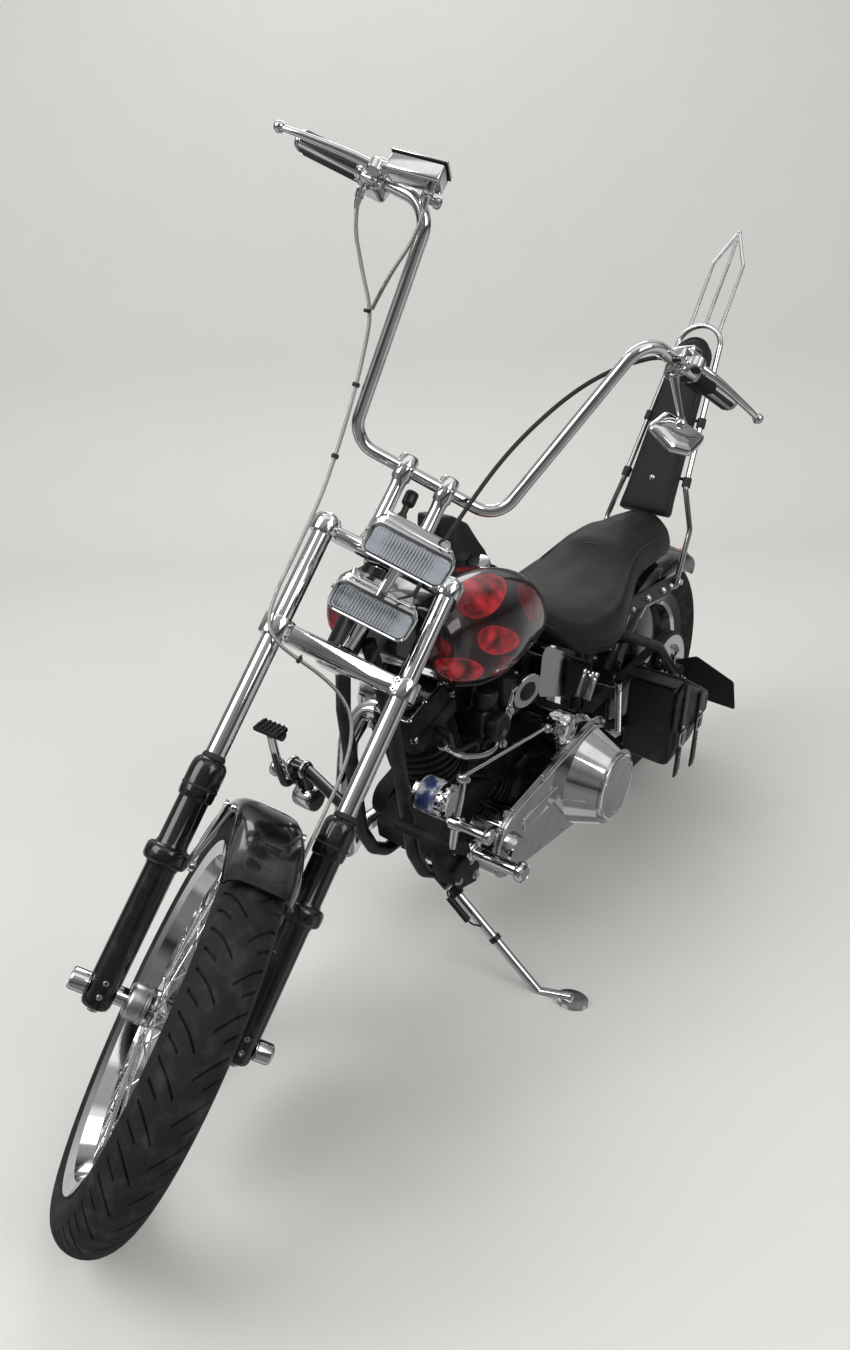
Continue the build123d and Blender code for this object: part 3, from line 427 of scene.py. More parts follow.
def red_lens():
    lens = Finish("red lens", coat_weight=1.0, coat_roughness=0.03)
    x, y, z = lens.parts(lens.place())
    ribs = (y * 900).wave() * (z * 900).wave()
    lens.tone(ribs.step(-0.5, 0.8), (0.3, 0.003, 0.004), (0.62, 0.012, 0.012))
    return lens.set(roughness=0.15 + 0.1 * ribs.size(), normal=lens.bump(ribs, 0.0006, 0.6))


def mirror_glass():
    glass = Finish("mirror glass", metallic=1.0)
    film = glass.noise(26, 4)
    glass.tone(film, (0.82, 0.84, 0.86), (0.9, 0.91, 0.93))
    return glass.set(roughness=0.02 + 0.03 * film)


def filter_band():
    """The filter's painted band, plain blue and white with nothing printed."""
    band = Finish("filter band", coat_weight=0.6, coat_roughness=0.1)
    cloud = band.noise(38, 4).step(0.42, 0.6)
    band.tone(cloud, (0.03, 0.05, 0.16), (0.55, 0.57, 0.62))
    return band.set(roughness=0.3 + 0.1 * band.noise(100))


def pale_floor():
    look = bpy.context.scene.chopper_stage
    floor = Finish("pale floor")
    tone = tuple(look.floor)
    floor.tone(floor.noise(3, 4), tone, tuple(0.96 * channel for channel in tone))
    return floor.set(roughness=0.55 + 0.1 * floor.noise(8, 3), normal=floor.bump(floor.noise(90, 3), 0.0003, 0.3))


MAKERS = {
    "chrome": polished_chrome, "steel": brushed_steel, "dark_steel": dark_steel, "black": gloss_black,
    "frame": frame_black, "cast": wrinkle_black, "tank": flame_paint, "tyre": tyre_rubber, "rubber": soft_rubber,
    "braid": braided_steel, "leather": seat_leather, "bag": bag_leather, "plastic": matt_plastic,
    "glass": lamp_glass, "reflector": reflector, "bulb_highlight": bulb_painted_highlight, "red": red_lens, "mirror": mirror_glass,
    "filter": filter_band, "floor": pale_floor,
}


class Shape:
    """A mesh being made in one of the machine's frames, in millimetres."""

    def __init__(self, place):
        self.mesh, self.place = bmesh.new(), place

    def rings(self, rows, closed=True, caps=True, wrap=False):
        """Faces between rows of points; a row closes on itself, and wrap joins the last row to the first."""
        made = [[self.mesh.verts.new(point) for point in row] for row in rows]
        pairs = list(zip(made, made[1:])) + ([(made[-1], made[0])] if wrap else [])
        count = len(made[0])
        for lower, upper in pairs:
            for number in range(count if closed else count - 1):
                after = (number + 1) % count
                self.mesh.faces.new((lower[number], lower[after], upper[after], upper[number]))
        if caps and closed and not wrap:
            self.mesh.faces.new(reversed(made[0]))
            self.mesh.faces.new(made[-1])
        return made

    def lathe(self, profile, at, sides):
        """A profile of (radius, height) points turned about Z."""
        rows = []
        for number in range(sides):
            angle = radians(360 * number / sides)
            rows.append([at @ Vector((r * cos(angle), r * sin(angle), h)) for r, h in profile])
        made = self.rings(rows, closed=False, caps=False, wrap=True)
        if profile[0][0] > CORE and profile[-1][0] > CORE and profile[0] != profile[-1]:
            for end in (0, -1):
                self.mesh.faces.new([row[end] for row in (made if end else reversed(made))])

    def pipe(self, points, radius, sides=14, smooth=8, radii=None):
        """A round bar along a smooth line through the points."""
        line = curved(points, smooth) if smooth else [Vector(point) for point in points]
        rows, normal = [], None
        for number, point in enumerate(line):
            ahead, behind = line[min(number + 1, len(line) - 1)], line[max(number - 1, 0)]
            way = (ahead - behind).normalized()
            if normal is None:
                normal = way.orthogonal().normalized()
            normal = (normal - way * normal.dot(way)).normalized()
            other = way.cross(normal)
            size = radius
            if radii:
                place = number / (len(line) - 1) * (len(radii) - 1)
                low = min(int(place), len(radii) - 2)
                size = radii[low] + (radii[low + 1] - radii[low]) * (place - low)
            angles = [2 * pi * side / sides for side in range(sides)]
            rows.append([point + size * (normal * cos(a) + other * sin(a)) for a in angles])
        self.rings(rows)

    def box(self, size, at, bevel=2.0, segments=3):
        """A block with rounded edges."""
        made = bmesh.ops.create_cube(self.mesh, size=1)["verts"]
        for vert in made:
            vert.co = Vector(vert.co[axis] * size[axis] for axis in range(3))
        self.settle(made, at, bevel, segments)

    def prism(self, outline, depth, at, bevel=1.5, segments=2):
        """A flat plate of an outline, half its depth to each side."""
        low = [self.mesh.verts.new((x, y, -depth / 2)) for x, y in outline]
        high = [self.mesh.verts.new((x, y, depth / 2)) for x, y in outline]
        self.mesh.faces.new(reversed(low))
        self.mesh.faces.new(high)
        for number in range(len(outline)):
            after = (number + 1) % len(outline)
            self.mesh.faces.new((low[number], low[after], high[after], high[number]))
        self.settle(low + high, at, bevel, segments)

    def settle(self, verts, at, bevel, segments):
        """Rounds a new block's edges and moves it to its place."""
        before = set(self.mesh.verts) - set(verts)
        edges = {edge for vert in verts for edge in vert.link_edges}
        bmesh.ops.bevel(
            self.mesh, geom=list(verts) + list(edges), offset=bevel, segments=segments,
            profile=0.5, affect="EDGES", clamp_overlap=True,
        )
        for vert in self.mesh.verts:
            if vert not in before:
                vert.co = at @ vert.co

    def hex_bolt(self, at, across=13, height=8, washer=True):
        """A hexagon head with a chamfered top, on a washer."""
        if washer:
            self.lathe(solid((across * 0.78, 0), (across * 0.78, 1.4)), at, 20)
        base = 1.4 if washer else 0
        hexagon = [radians(60 * corner) for corner in range(6)]
        wide, top = across / sqrt(3), across / sqrt(3) * 0.86
        rows = []
        for radius, level in ((wide, base), (wide, base + height * 0.8), (top, base + height)):
            rows.append([at @ Vector((radius * cos(a), radius * sin(a), level)) for a in hexagon])
        self.rings(rows)

    def cap_screw(self, at, radius=5, height=6):
        """A round head with a hexagon socket."""
        profile = [(CORE, height * 0.45), (radius * 0.5, height * 0.45), (radius * 0.5, height)]
        profile += [(radius * 0.85, height), (radius, height * 0.85), (radius, 0), (CORE, 0)]
        self.lathe(profile, at, 18)

    def done(self, name, body, look, replaces=(), smooth=38):
        """The finished piece, in metres in the row's frame, riding on its body."""
        bmesh.ops.remove_doubles(self.mesh, verts=self.mesh.verts, dist=0.004)
        bmesh.ops.recalc_face_normals(self.mesh, faces=self.mesh.faces)
        mesh = bpy.data.meshes.new(name)
        self.mesh.to_mesh(mesh)
        self.mesh.free()
        mesh.transform(Matrix.Scale(MM, 4) @ self.place)
        mesh.shade_smooth()
        mesh.set_sharp_from_angle(angle=radians(smooth))
        mesh.materials.append(finish(look))
        return settled(bpy.data.objects.new(name, mesh), body, replaces)


def settled(piece, body, replaces):
    """A new object in the scene, riding on its body in place of the nodes it replaces."""
    bpy.context.scene.collection.objects.link(piece)
    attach(piece, body)
    if replaces:
        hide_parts(*replaces)
    return piece


def solid(*profile):
    """A turned profile closed to its axis at both ends."""
    return [(CORE, profile[0][1]), *profile, (CORE, profile[-1][1])]


def collar(bore, shoulder, outer, half, flat):
    """A chamfered collar's profile about its middle; half is half its length, and flat half its widest part."""
    return [(bore, -half), (shoulder, -half), (outer, -flat), (outer, flat), (shoulder, half), (bore, half)]


def layered(at, outline, layers):
    """Rings of a flat outline, one for each scale and height."""
    return [[at @ Vector((x * scale, y * scale, height)) for x, y in outline] for scale, height in layers]


def boxy(at, layers):
    """Rings of rounded rectangles, each with its depth, half width, half height and corner."""
    return [
        [at @ Vector((x, y, depth)) for x, y in rounded(wide, high, corner)] for depth, wide, high, corner in layers
    ]


def fluted(at, layers, sides, flutes, depth, low, high):
    """Rings of a round cap, each with its radius and level, with flutes between two levels."""
    rows = []
    for radius, level in layers:
        row = []
        for number in range(sides):
            angle = radians(number * 360 / sides)
            reach = radius * (1 + (depth * cos(flutes * angle) if low < level < high else 0))
            row.append(at @ Vector((reach * cos(angle), reach * sin(angle), level)))
        rows.append(row)
    return rows


def coil(at, radius, start, length, turns):
    """Points of a wound wire, twelve to a turn."""
    points = []
    for number in range(turns * 12 + 1):
        angle = radians(number * 30)
        level = start + length * number / (turns * 12)
        points.append(at @ Vector((radius * cos(angle), radius * sin(angle), level)))
    return points


def on_wheel(radius, side, angle):
    """A point at this radius and angle round a wheel's axle, in radians, and this far to its side."""
    return Vector((radius * cos(angle), side, radius * sin(angle)))


def mirrored(half):
    """A cross section from one half of it, as (radius, side) points."""
    return half + [(radius, -side) for radius, side in reversed(half)]


def swept(section, start, sweep, steps, taper=0.0, run=1):
    """Rings of a section round a wheel's axle; taper narrows both ends, over a run of steps."""
    rows = []
    for step in range(steps + 1):
        angle = radians(start + sweep * step / steps)
        width = 1 - taper * max(0.0, 1 - step / run) ** 2 - taper * max(0.0, 1 - (steps - step) / run) ** 2
        rows.append([on_wheel(radius, side * width, angle) for radius, side in section])
    return rows


def curved(points, steps):
    """Points of a smooth line through the given ones."""
    line = [Vector(point) for point in points]
    ends = [2 * line[0] - line[1]] + line + [2 * line[-1] - line[-2]]
    made = []
    for number in range(1, len(ends) - 2):
        a, b, c, d = ends[number - 1:number + 3]
        for step in range(steps):
            t = step / steps
            made.append(0.5 * (
                2 * b + (c - a) * t + (2 * a - 5 * b + 4 * c - d) * t * t + (3 * b - a - 3 * c + d) * t ** 3
            ))
    return made + [line[-1]]


def spread(table, count):
    """Rows of a table filled in smoothly between its stations."""
    rows = []
    for column in zip(*table):
        points = [(index, value, 0) for index, value in enumerate(column)]
        line = curved(points, count)
        rows.append([point.y for point in line])
    return list(zip(*rows))


def tube_piece(name, body, place, points, radius, look, replaces=()):
    """A hose or cable on one smooth line."""
    data = bpy.data.curves.new(name, "CURVE")
    data.dimensions, data.bevel_depth, data.bevel_resolution = "3D", radius * MM, 4
    data.use_fill_caps = True
    spline = data.splines.new("NURBS")
    spline.points.add(len(points) - 1)
    for point, target in zip(points, spline.points):
        target.co = (*(place @ Vector(point) * MM), 1)
    spline.order_u, spline.use_endpoint_u, spline.resolution_u = 3, True, 8
    data.materials.append(finish(look))
    return settled(bpy.data.objects.new(name, data), body, replaces)


def dress(look, *nodes):
    """Gives carried-over solids their finish."""
    for name in nodes:
        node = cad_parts[name]
        node.data.materials.clear()
        node.data.materials.append(finish(look))


class ChopperPaint(bpy.types.PropertyGroup):
    """Colours of the tank."""
    ground: bpy.props.FloatVectorProperty(
        name="Ground", description="Colour between the teardrops", subtype="COLOR", size=3, min=0, max=1,
        default=(0.008, 0.004, 0.005))
    rim: bpy.props.FloatVectorProperty(
        name="Rim", description="Colour at the teardrops' edges", subtype="COLOR", size=3, min=0, max=1,
        default=(0.44, 0.012, 0.022))


class ChopperMetal(bpy.types.PropertyGroup):
    """Bright metal."""
    chrome: bpy.props.FloatVectorProperty(
        name="Chrome", description="Colour of polished chrome", subtype="COLOR", size=3, min=0, max=1,
        default=(0.66, 0.66, 0.67))
    gloss: bpy.props.FloatProperty(
        name="Haze", description="Roughness of polished chrome", subtype="FACTOR", min=0, max=1, default=0.05)


class ChopperRubber(bpy.types.PropertyGroup):
    """Tyres and grips."""
    tyre: bpy.props.FloatVectorProperty(
        name="Tyre", description="Colour of clean tyre rubber", subtype="COLOR", size=3, min=0, max=1,
        default=(0.012, 0.012, 0.0125))
    groove: bpy.props.FloatProperty(
        name="Groove depth", description="Depth of the tread's grooves, in millimetres", min=1, max=8, default=4.5)
    pitch: bpy.props.FloatProperty(
        name="Groove pitch", description="Distance between grooves round the tyre, in millimetres",
        min=20, max=120, default=62)


class ChopperLeather(bpy.types.PropertyGroup):
    """Seat and pad."""
    hide: bpy.props.FloatVectorProperty(
        name="Hide", description="Colour of unworn leather", subtype="COLOR", size=3, min=0, max=1,
        default=(0.01, 0.0095, 0.009))
    grain: bpy.props.FloatProperty(
        name="Grain", description="Height of the grain, in millimetres", min=0, max=1, default=0.22)
    # This also sets how strong the painted sheen on the seat's top is.
    wear_and_sheen: bpy.props.FloatProperty(
        name="Wear", description="How far the riding surface is rubbed", subtype="FACTOR", min=0, max=1, default=0.8)


class ChopperStage(bpy.types.PropertyGroup):
    """Floor and light."""
    floor: bpy.props.FloatVectorProperty(
        name="Floor", description="Colour of the floor and wall", subtype="COLOR", size=3, min=0, max=1,
        default=(0.72, 0.71, 0.69))
    level: bpy.props.FloatProperty(
        name="Light", description="Strength of the soft lamps", min=0, max=5, default=1.0)


# The camera: its own axes as rows, its place in the machine's frame, and its focal length in pixels of a picture
# of this height. The sensor's height is in millimetres.
CAMERA_AXES = ((-0.584692, 0.810362, -0.038065), (-0.319655, -0.187004, 0.928897), (0.745624, 0.555287, 0.368376))
CAMERA_PLACE, FOCAL_LENGTH, PICTURE_HEIGHT, SENSOR = (2516.80, 1190.63, 1390.21), 1050.17, 1350, 24.0
# The floor's reach, and the wall behind it: its distance, the radius of the curve at its foot, its top and its turn.
FLOOR_REACH, WALL, SWEEP, WALL_TOP, WALL_TURN = 9000, 3200, 900, 6000, 36.7
# Each lamp's place, size and power, in metres and watts.
SOFTBOXES = ((3.2, -1.6, 4.2, 3.0, 120), (1.0, 4.6, 3.4, 2.6, 80), (-3.0, -2.4, 3.6, 2.4, 55))
# Tones of the studio that metal and glass show, from straight down (0) to straight up (1).
STUDIO = (
    (0.0, 0.4), (0.36, 0.5), (0.46, 0.28), (0.5, 0.07), (0.53, 0.1), (0.62, 0.42), (0.72, 0.34), (0.82, 0.8),
    (1.0, 1.0),
)


class CHOPPER_OT_stage(bpy.types.Operator):
    """Lays the floor, hangs the lamps and sets the camera"""
    bl_idname = "chopper.stage"
    bl_label = "Stage"
    bl_options = {"REGISTER", "UNDO"}

    def execute(self, context):
        scene = context.scene
        scene.view_settings.view_transform = "Standard"
        camera = bpy.data.cameras.new("camera")
        camera.sensor_fit, camera.sensor_height = "VERTICAL", SENSOR
        camera.lens = SENSOR * FOCAL_LENGTH / PICTURE_HEIGHT
        camera.clip_start = 0.05
        eye = bpy.data.objects.new("camera", camera)
        at = (Vector(CAMERA_PLACE) - Vector((*MIDDLE, 0))) * MM
        eye.matrix_world = Matrix.Translation(at) @ Matrix(CAMERA_AXES).transposed().to_4x4()
        scene.collection.objects.link(eye)
        scene.camera = eye
        floor = Shape(Matrix.Identity(4))
        curve = [radians(90 * number / 8) for number in range(1, 9)]
        profile = [(FLOOR_REACH, 0), (-WALL, 0)]
        profile += [(-WALL - SWEEP * sin(turn), SWEEP - SWEEP * cos(turn)) for turn in curve]
        profile += [(-WALL - SWEEP, WALL_TOP)]
        across = turned(WALL_TURN, "Z")
        rows = [[across @ Vector((x, side, z)) for x, z in profile] for side in (-FLOOR_REACH, FLOOR_REACH)]
        floor.rings(rows, closed=False, caps=False)
        mesh = bpy.data.meshes.new("floor")
        floor.mesh.to_mesh(mesh)
        floor.mesh.free()
        mesh.transform(Matrix.Scale(MM, 4))
        mesh.shade_smooth()
        mesh.materials.append(finish("floor"))
        ground = bpy.data.objects.new("floor", mesh)
        scene.collection.objects.link(ground)
        level = scene.chopper_stage.level
        for number, (x, y, z, size, power) in enumerate(SOFTBOXES):
            lamp = bpy.data.lights.new(f"softbox_{number}", "AREA")
            lamp.shape, lamp.size, lamp.energy = "SQUARE", size, power * level
            hung = bpy.data.objects.new(f"softbox_{number}", lamp)
            hung.matrix_world = facing((x, y, z), (x, y, z - 0.6))
            scene.collection.objects.link(hung)
        ground.visible_glossy = False
        world = scene.world or bpy.data.worlds.new("studio")
        scene.world = world
        world.use_nodes = True
        world.node_tree.nodes.clear()
        sky = Sky(world)
        x, y, z = sky.parts(sky.node("TexCoord", output="Generated"))
        stops = [(place, (tone, tone, tone)) for place, tone in STUDIO]
        ramp = sky.node("ValToRGB", {"stops": stops}, {0: z * 0.5 + 0.5})
        panels = (x * 5.1 + y * 3.7).wave().step(-0.2, 0.6) * 0.75 + 0.5
        seen = sky.node("VectorMath", {"operation": "SCALE"}, {0: ramp, "Scale": panels})
        glossy = sky.node("LightPath", output="Is Glossy Ray")
        mirrored_rays = glossy.most(sky.node("LightPath", output="Is Transmission Ray"))
        direct = sky.node("LightPath", output="Is Camera Ray")
        soft = sky.mix(direct, (0.62, 0.62, 0.61), (0.7, 0.69, 0.67))
        shown = sky.node("Background", None, {0: sky.mix(mirrored_rays, soft, seen), 1: 1.0})
        sky.node("OutputWorld", None, {0: shown})
        return {"FINISHED"}


class CHOPPER_OT_hoses(bpy.types.Operator):
    """Runs the braided brake lines and the clutch cable with their ties"""
    bl_idname = "chopper.hoses"
    bl_label = "Hoses and cables"
    bl_options = {"REGISTER", "UNDO"}

    def execute(self, context):
        tube_piece("brake_line_piece", "steering", FORK, BRAKE_LINE, HOSE_RADIUS, "braid", ("brake_lines",))
        tube_piece("feed_line_piece", "steering", FORK, FEED_LINE, HOSE_RADIUS, "braid")
        tube_piece("clutch_cable_piece", "steering", FORK, CLUTCH_CABLE, CABLE_RADIUS, "rubber", ("clutch_cable",))
        ties = Shape(FORK)
        for number in TIES:
            point, after = Vector(BRAKE_LINE[number]), Vector(BRAKE_LINE[number + 1])
            at = facing(point + (Vector(BRAKE_LINE[number - 1]) + after - 2 * point) * 0.25, after - point)
            ties.lathe(collar(3.4, 6.2, 6.6, 3, 1), at, 16)
            ties.box((4, 9, 3), at @ moved(6, 5, 0), 0.6)
        ties.done("hose_ties", "steering", "rubber")
        ends = Shape(FORK)
        for point, after in (BRAKE_LINE[:2], FEED_LINE[:2], CLUTCH_CABLE[:2]):
            at = facing(point, Vector(after) - Vector(point))
            ends.lathe([(CORE, -6), (7, -6), (7, 3), (5.5, 6), (5.5, 16), (4.2, 20), (3.2, 26)], at, 20)
            ends.hex_bolt(at @ moved(0, 0, 3), 13, 6, washer=False)
        ends.done("hose_fittings", "steering", "chrome")
        return {"FINISHED"}


HOSE_RADIUS, CABLE_RADIUS = 3.2, 4.0
# Points of the brake line that have a tie.
TIES = (3, 5, 7, 14)
# Routes of the hoses in the fork's frame.
BRAKE_LINE = (
    (136, -308, 1287), (112, -300, 1255), (90, -252, 1198), (78, -208, 1148), (56, -192, 1100), (42, -177, 1042),
    (30, -165, 980), (20, -156, 925), (16, -148, 860), (16, -146, 800), (17, -145, 735), (22, -146, 675),
    (30, -138, 618), (38, -108, 596), (39, -66, 588), (38, -26, 582), (36, 14, 570), (36, 50, 545), (37, 70, 500),
    (33, 77, 445), (30, 78, 380), (30, 77, 310), (26, 79, 250), (12, 84, 195), (-24, 90, 160), (-66, 92, 138),
    (-92, 92, 103),
)
FEED_LINE = ((222, -216, 1297), (208, -206, 1262), (180, -203, 1231), (146, -211, 1184), (88, -210, 1150))
CLUTCH_CABLE = (
    (145, 268, 1316), (130, 251, 1314), (112, 232, 1302), (98, 208, 1281), (86, 176, 1240), (78, 148, 1190),
    (70, 122, 1128), (62, 102, 1068), (54, 88, 1008), (46, 78, 945), (34, 70, 885), (24, 66, 838), (20, 65, 790),
    (4, 62, 745), (-6, 54, 695), (-8, 50, 643.8),
)


# Sizes of both tyres in millimetres; the crown is the tread's own radius across the tyre.
FRONT_TYRE = {"radius": FRONT_RADIUS, "crown": 52, "half_width": 50, "bead": 262, "bead_half": 35}
REAR_TYRE = {"radius": REAR_RADIUS, "crown": 70, "half_width": 65, "bead": 203, "bead_half": 38}
# The tread's rows of points, as parts of the way from its middle to its edge, and the grooves' reach among them.
TREAD_EDGE, TREAD_ROWS = 58, (0, 3, 5, 6, 12, 18, 22, 23, 30, 37, 43, 44, 49, 53, 58)
LONG_GROOVE, SHORT_GROOVE = (6, 43), (23, 43)
# One block of tread runs round the tyre in these steps; the grooves' floors are the pairs after it.
BLOCK, BLOCK_STEPS = 62, (0, 1.1, 4.6, 5.7, 18, 30.8, 31.9, 35.4, 36.5, 48)
FIRST_FLOOR, SECOND_FLOOR = (1.1, 4.6), (31.9, 35.4)
# Degrees in a radian, near enough for a tread.
DEGREES = 57.3


def treaded_tyre(name, body, place, replaces, slant, pitch, depth, radius, crown, half_width, bead, bead_half):
    """A tyre with slanting grooves on both shoulders and fine rings on its walls."""
    ring_radius = radius - crown
    count = max(12, round(2 * pi * radius / pitch))
    step = 360 / count
    edge = asin(min(1, half_width / crown))
    spots = [degrees(edge) * value / TREAD_EDGE for value in TREAD_ROWS]
    long_cut, short_cut = (
        {index for index, value in enumerate(TREAD_ROWS) if low <= value <= high}
        for low, high in (LONG_GROOVE, SHORT_GROOVE)
    )
    shoulder, flange = ring_radius + crown * cos(edge), bead + 20
    wall = []
    for part in range(1, 13):
        t = part / 12
        bulge = 1.2 * sin(pi * t) + (0.7 if part in (2, 4, 9) else 0)
        wall.append((shoulder + (flange - shoulder) * t, half_width + (bead_half + 7 - half_width) * t + bulge))
    wall.append((bead, bead_half))
    shape = Shape(place)

    def skew(distance):
        """Degrees that a groove has run round the tyre at this distance from the middle."""
        return slant * (distance * (1.5 - 0.55 * distance / half_width)) / radius * DEGREES

    for hand in HANDS:
        rows = []
        for number in range(count):
            for column in BLOCK_STEPS:
                phase = column / BLOCK
                first, second = column in FIRST_FLOOR, column in SECOND_FLOOR
                cut = long_cut if first == (hand > 0) else short_cut
                row = []
                for index, spot in enumerate(spots):
                    angle = radians((number + phase) * step + skew(radians(spot) * crown))
                    drop = depth if index in cut and (first or second) else 0
                    reach = ring_radius + (crown - drop) * cos(radians(spot))
                    side = hand * (crown - drop) * sin(radians(spot))
                    row.append(on_wheel(reach, side, angle))
                angle = radians((number + phase) * step + skew(radians(spots[-1]) * crown))
                row += [on_wheel(reach, hand * side, angle) for reach, side in wall]
                rows.append(row)
        shape.rings(rows, closed=False, caps=False, wrap=True)
    inner = [Vector((bead, bead_half, 0)), Vector((bead, -bead_half, 0))]
    rows = [[turned(number * 3.75, "Y") @ point for point in inner] for number in range(96)]
    shape.rings(rows, closed=False, caps=False, wrap=True)
    shape.done(name, body, "tyre", replaces, smooth=42)


SPOKES = 40
# Where the front valve stands round the rim, in radians.
VALVE_TURN = 1.9


class CHOPPER_OT_wheels(bpy.types.Operator):
    """Fits treaded tyres and finishes the laced front wheel and the solid rear one"""
    bl_idname = "chopper.wheels"
    bl_label = "Wheels and tyres"
    bl_options = {"REGISTER", "UNDO"}

    def execute(self, context):
        look = context.scene.chopper_rubber
        for name, body, place, replaces, slant, pitch, sizes in (
            ("front_tyre_tread", "front_wheel", FORK, ("front_tyre",), 1.0, look.pitch, FRONT_TYRE),
            ("rear_tyre_tread", "rear_wheel", REAR, ("rear_tyre",), -0.9, look.pitch * 1.15, REAR_TYRE),
        ):
            treaded_tyre(name, body, place, replaces, slant, pitch, look.groove, **sizes)
        dress("chrome", "front_rim", "front_hub", "rear_pulley")
        dress("black", "rear_rim")
        dress("steel", "front_disc", "rear_disc")
        nipples = Shape(FORK)
        for number in range(SPOKES):
            turn = radians(number * 360 / SPOKES)
            side = 1 if number % 2 else -1
            lean = turn + radians(52 if number % 4 < 2 else -52)
            inner, outer = on_wheel(38, side * 33, lean), on_wheel(249.2, side * 5, turn)
            way = (inner - outer).normalized()
            nipples.lathe([(CORE, 0), (4.6, 0), (4.6, 3), (3.2, 4), (3.0, 17), (2.3, 19)], facing(outer, way), 10)
        nipples.done("spoke_nipples", "front_wheel", "chrome")
        spacer = Shape(FORK)
        spacer.lathe(
            [(10.2, 34), (27, 34), (29, 37), (29, 70), (27.4, 74), (24, 77), (15, 78), (13, 80), (13, 92), (10.2, 92)],
            sideways(0, 0, 0, -1), 48,
        )
        spacer.lathe([(29, 44), (30.6, 45), (30.6, 50), (29, 51)], sideways(0, 0, 0, -1), 48)
        spacer.done("front_hub_spacer", "front_wheel", "steel")
        valve = Shape(FORK)
        spoke = on_wheel(1, 0, VALVE_TURN)
        valve.lathe(
            [(CORE, 0), (4, 0), (4, 20), (3, 22), (3, 32), (4.2, 33), (4.2, 42), (CORE, 43)],
            facing(spoke * 249, -spoke), 12,
        )
        valve.done("front_valve", "front_wheel", "rubber")
        pinstripe = Shape(REAR)
        for hand in HANDS:
            band = [(186, 0), (197, 7.5), (198.6, 6.9), (187.6, -0.8)]
            pinstripe.lathe([(r, hand * (34.6 + w)) for r, w in band] + [(186, hand * 34.6)], WHEEL_UP, 96)
        pinstripe.done("rear_rim_ring", "rear_wheel", "chrome")
        hub = Shape(REAR)
        for x, z in around((0, 0), 48, range(20, 380, 72)):
            for side, level in ((1, 104), (-1, -82.4)):
                hub.hex_bolt(sideways(x, level, z, side), 11, 6)
        hub.done("rear_hub_bolts", "rear_wheel", "steel")
        front = Shape(FORK)
        for x, z in around((0, 0), 40, range(0, 360, 72)):
            front.cap_screw(sideways(x, 75.2, z), 5.5, 5)
        front.done("front_disc_bolts", "front_wheel", "chrome")
        return {"FINISHED"}


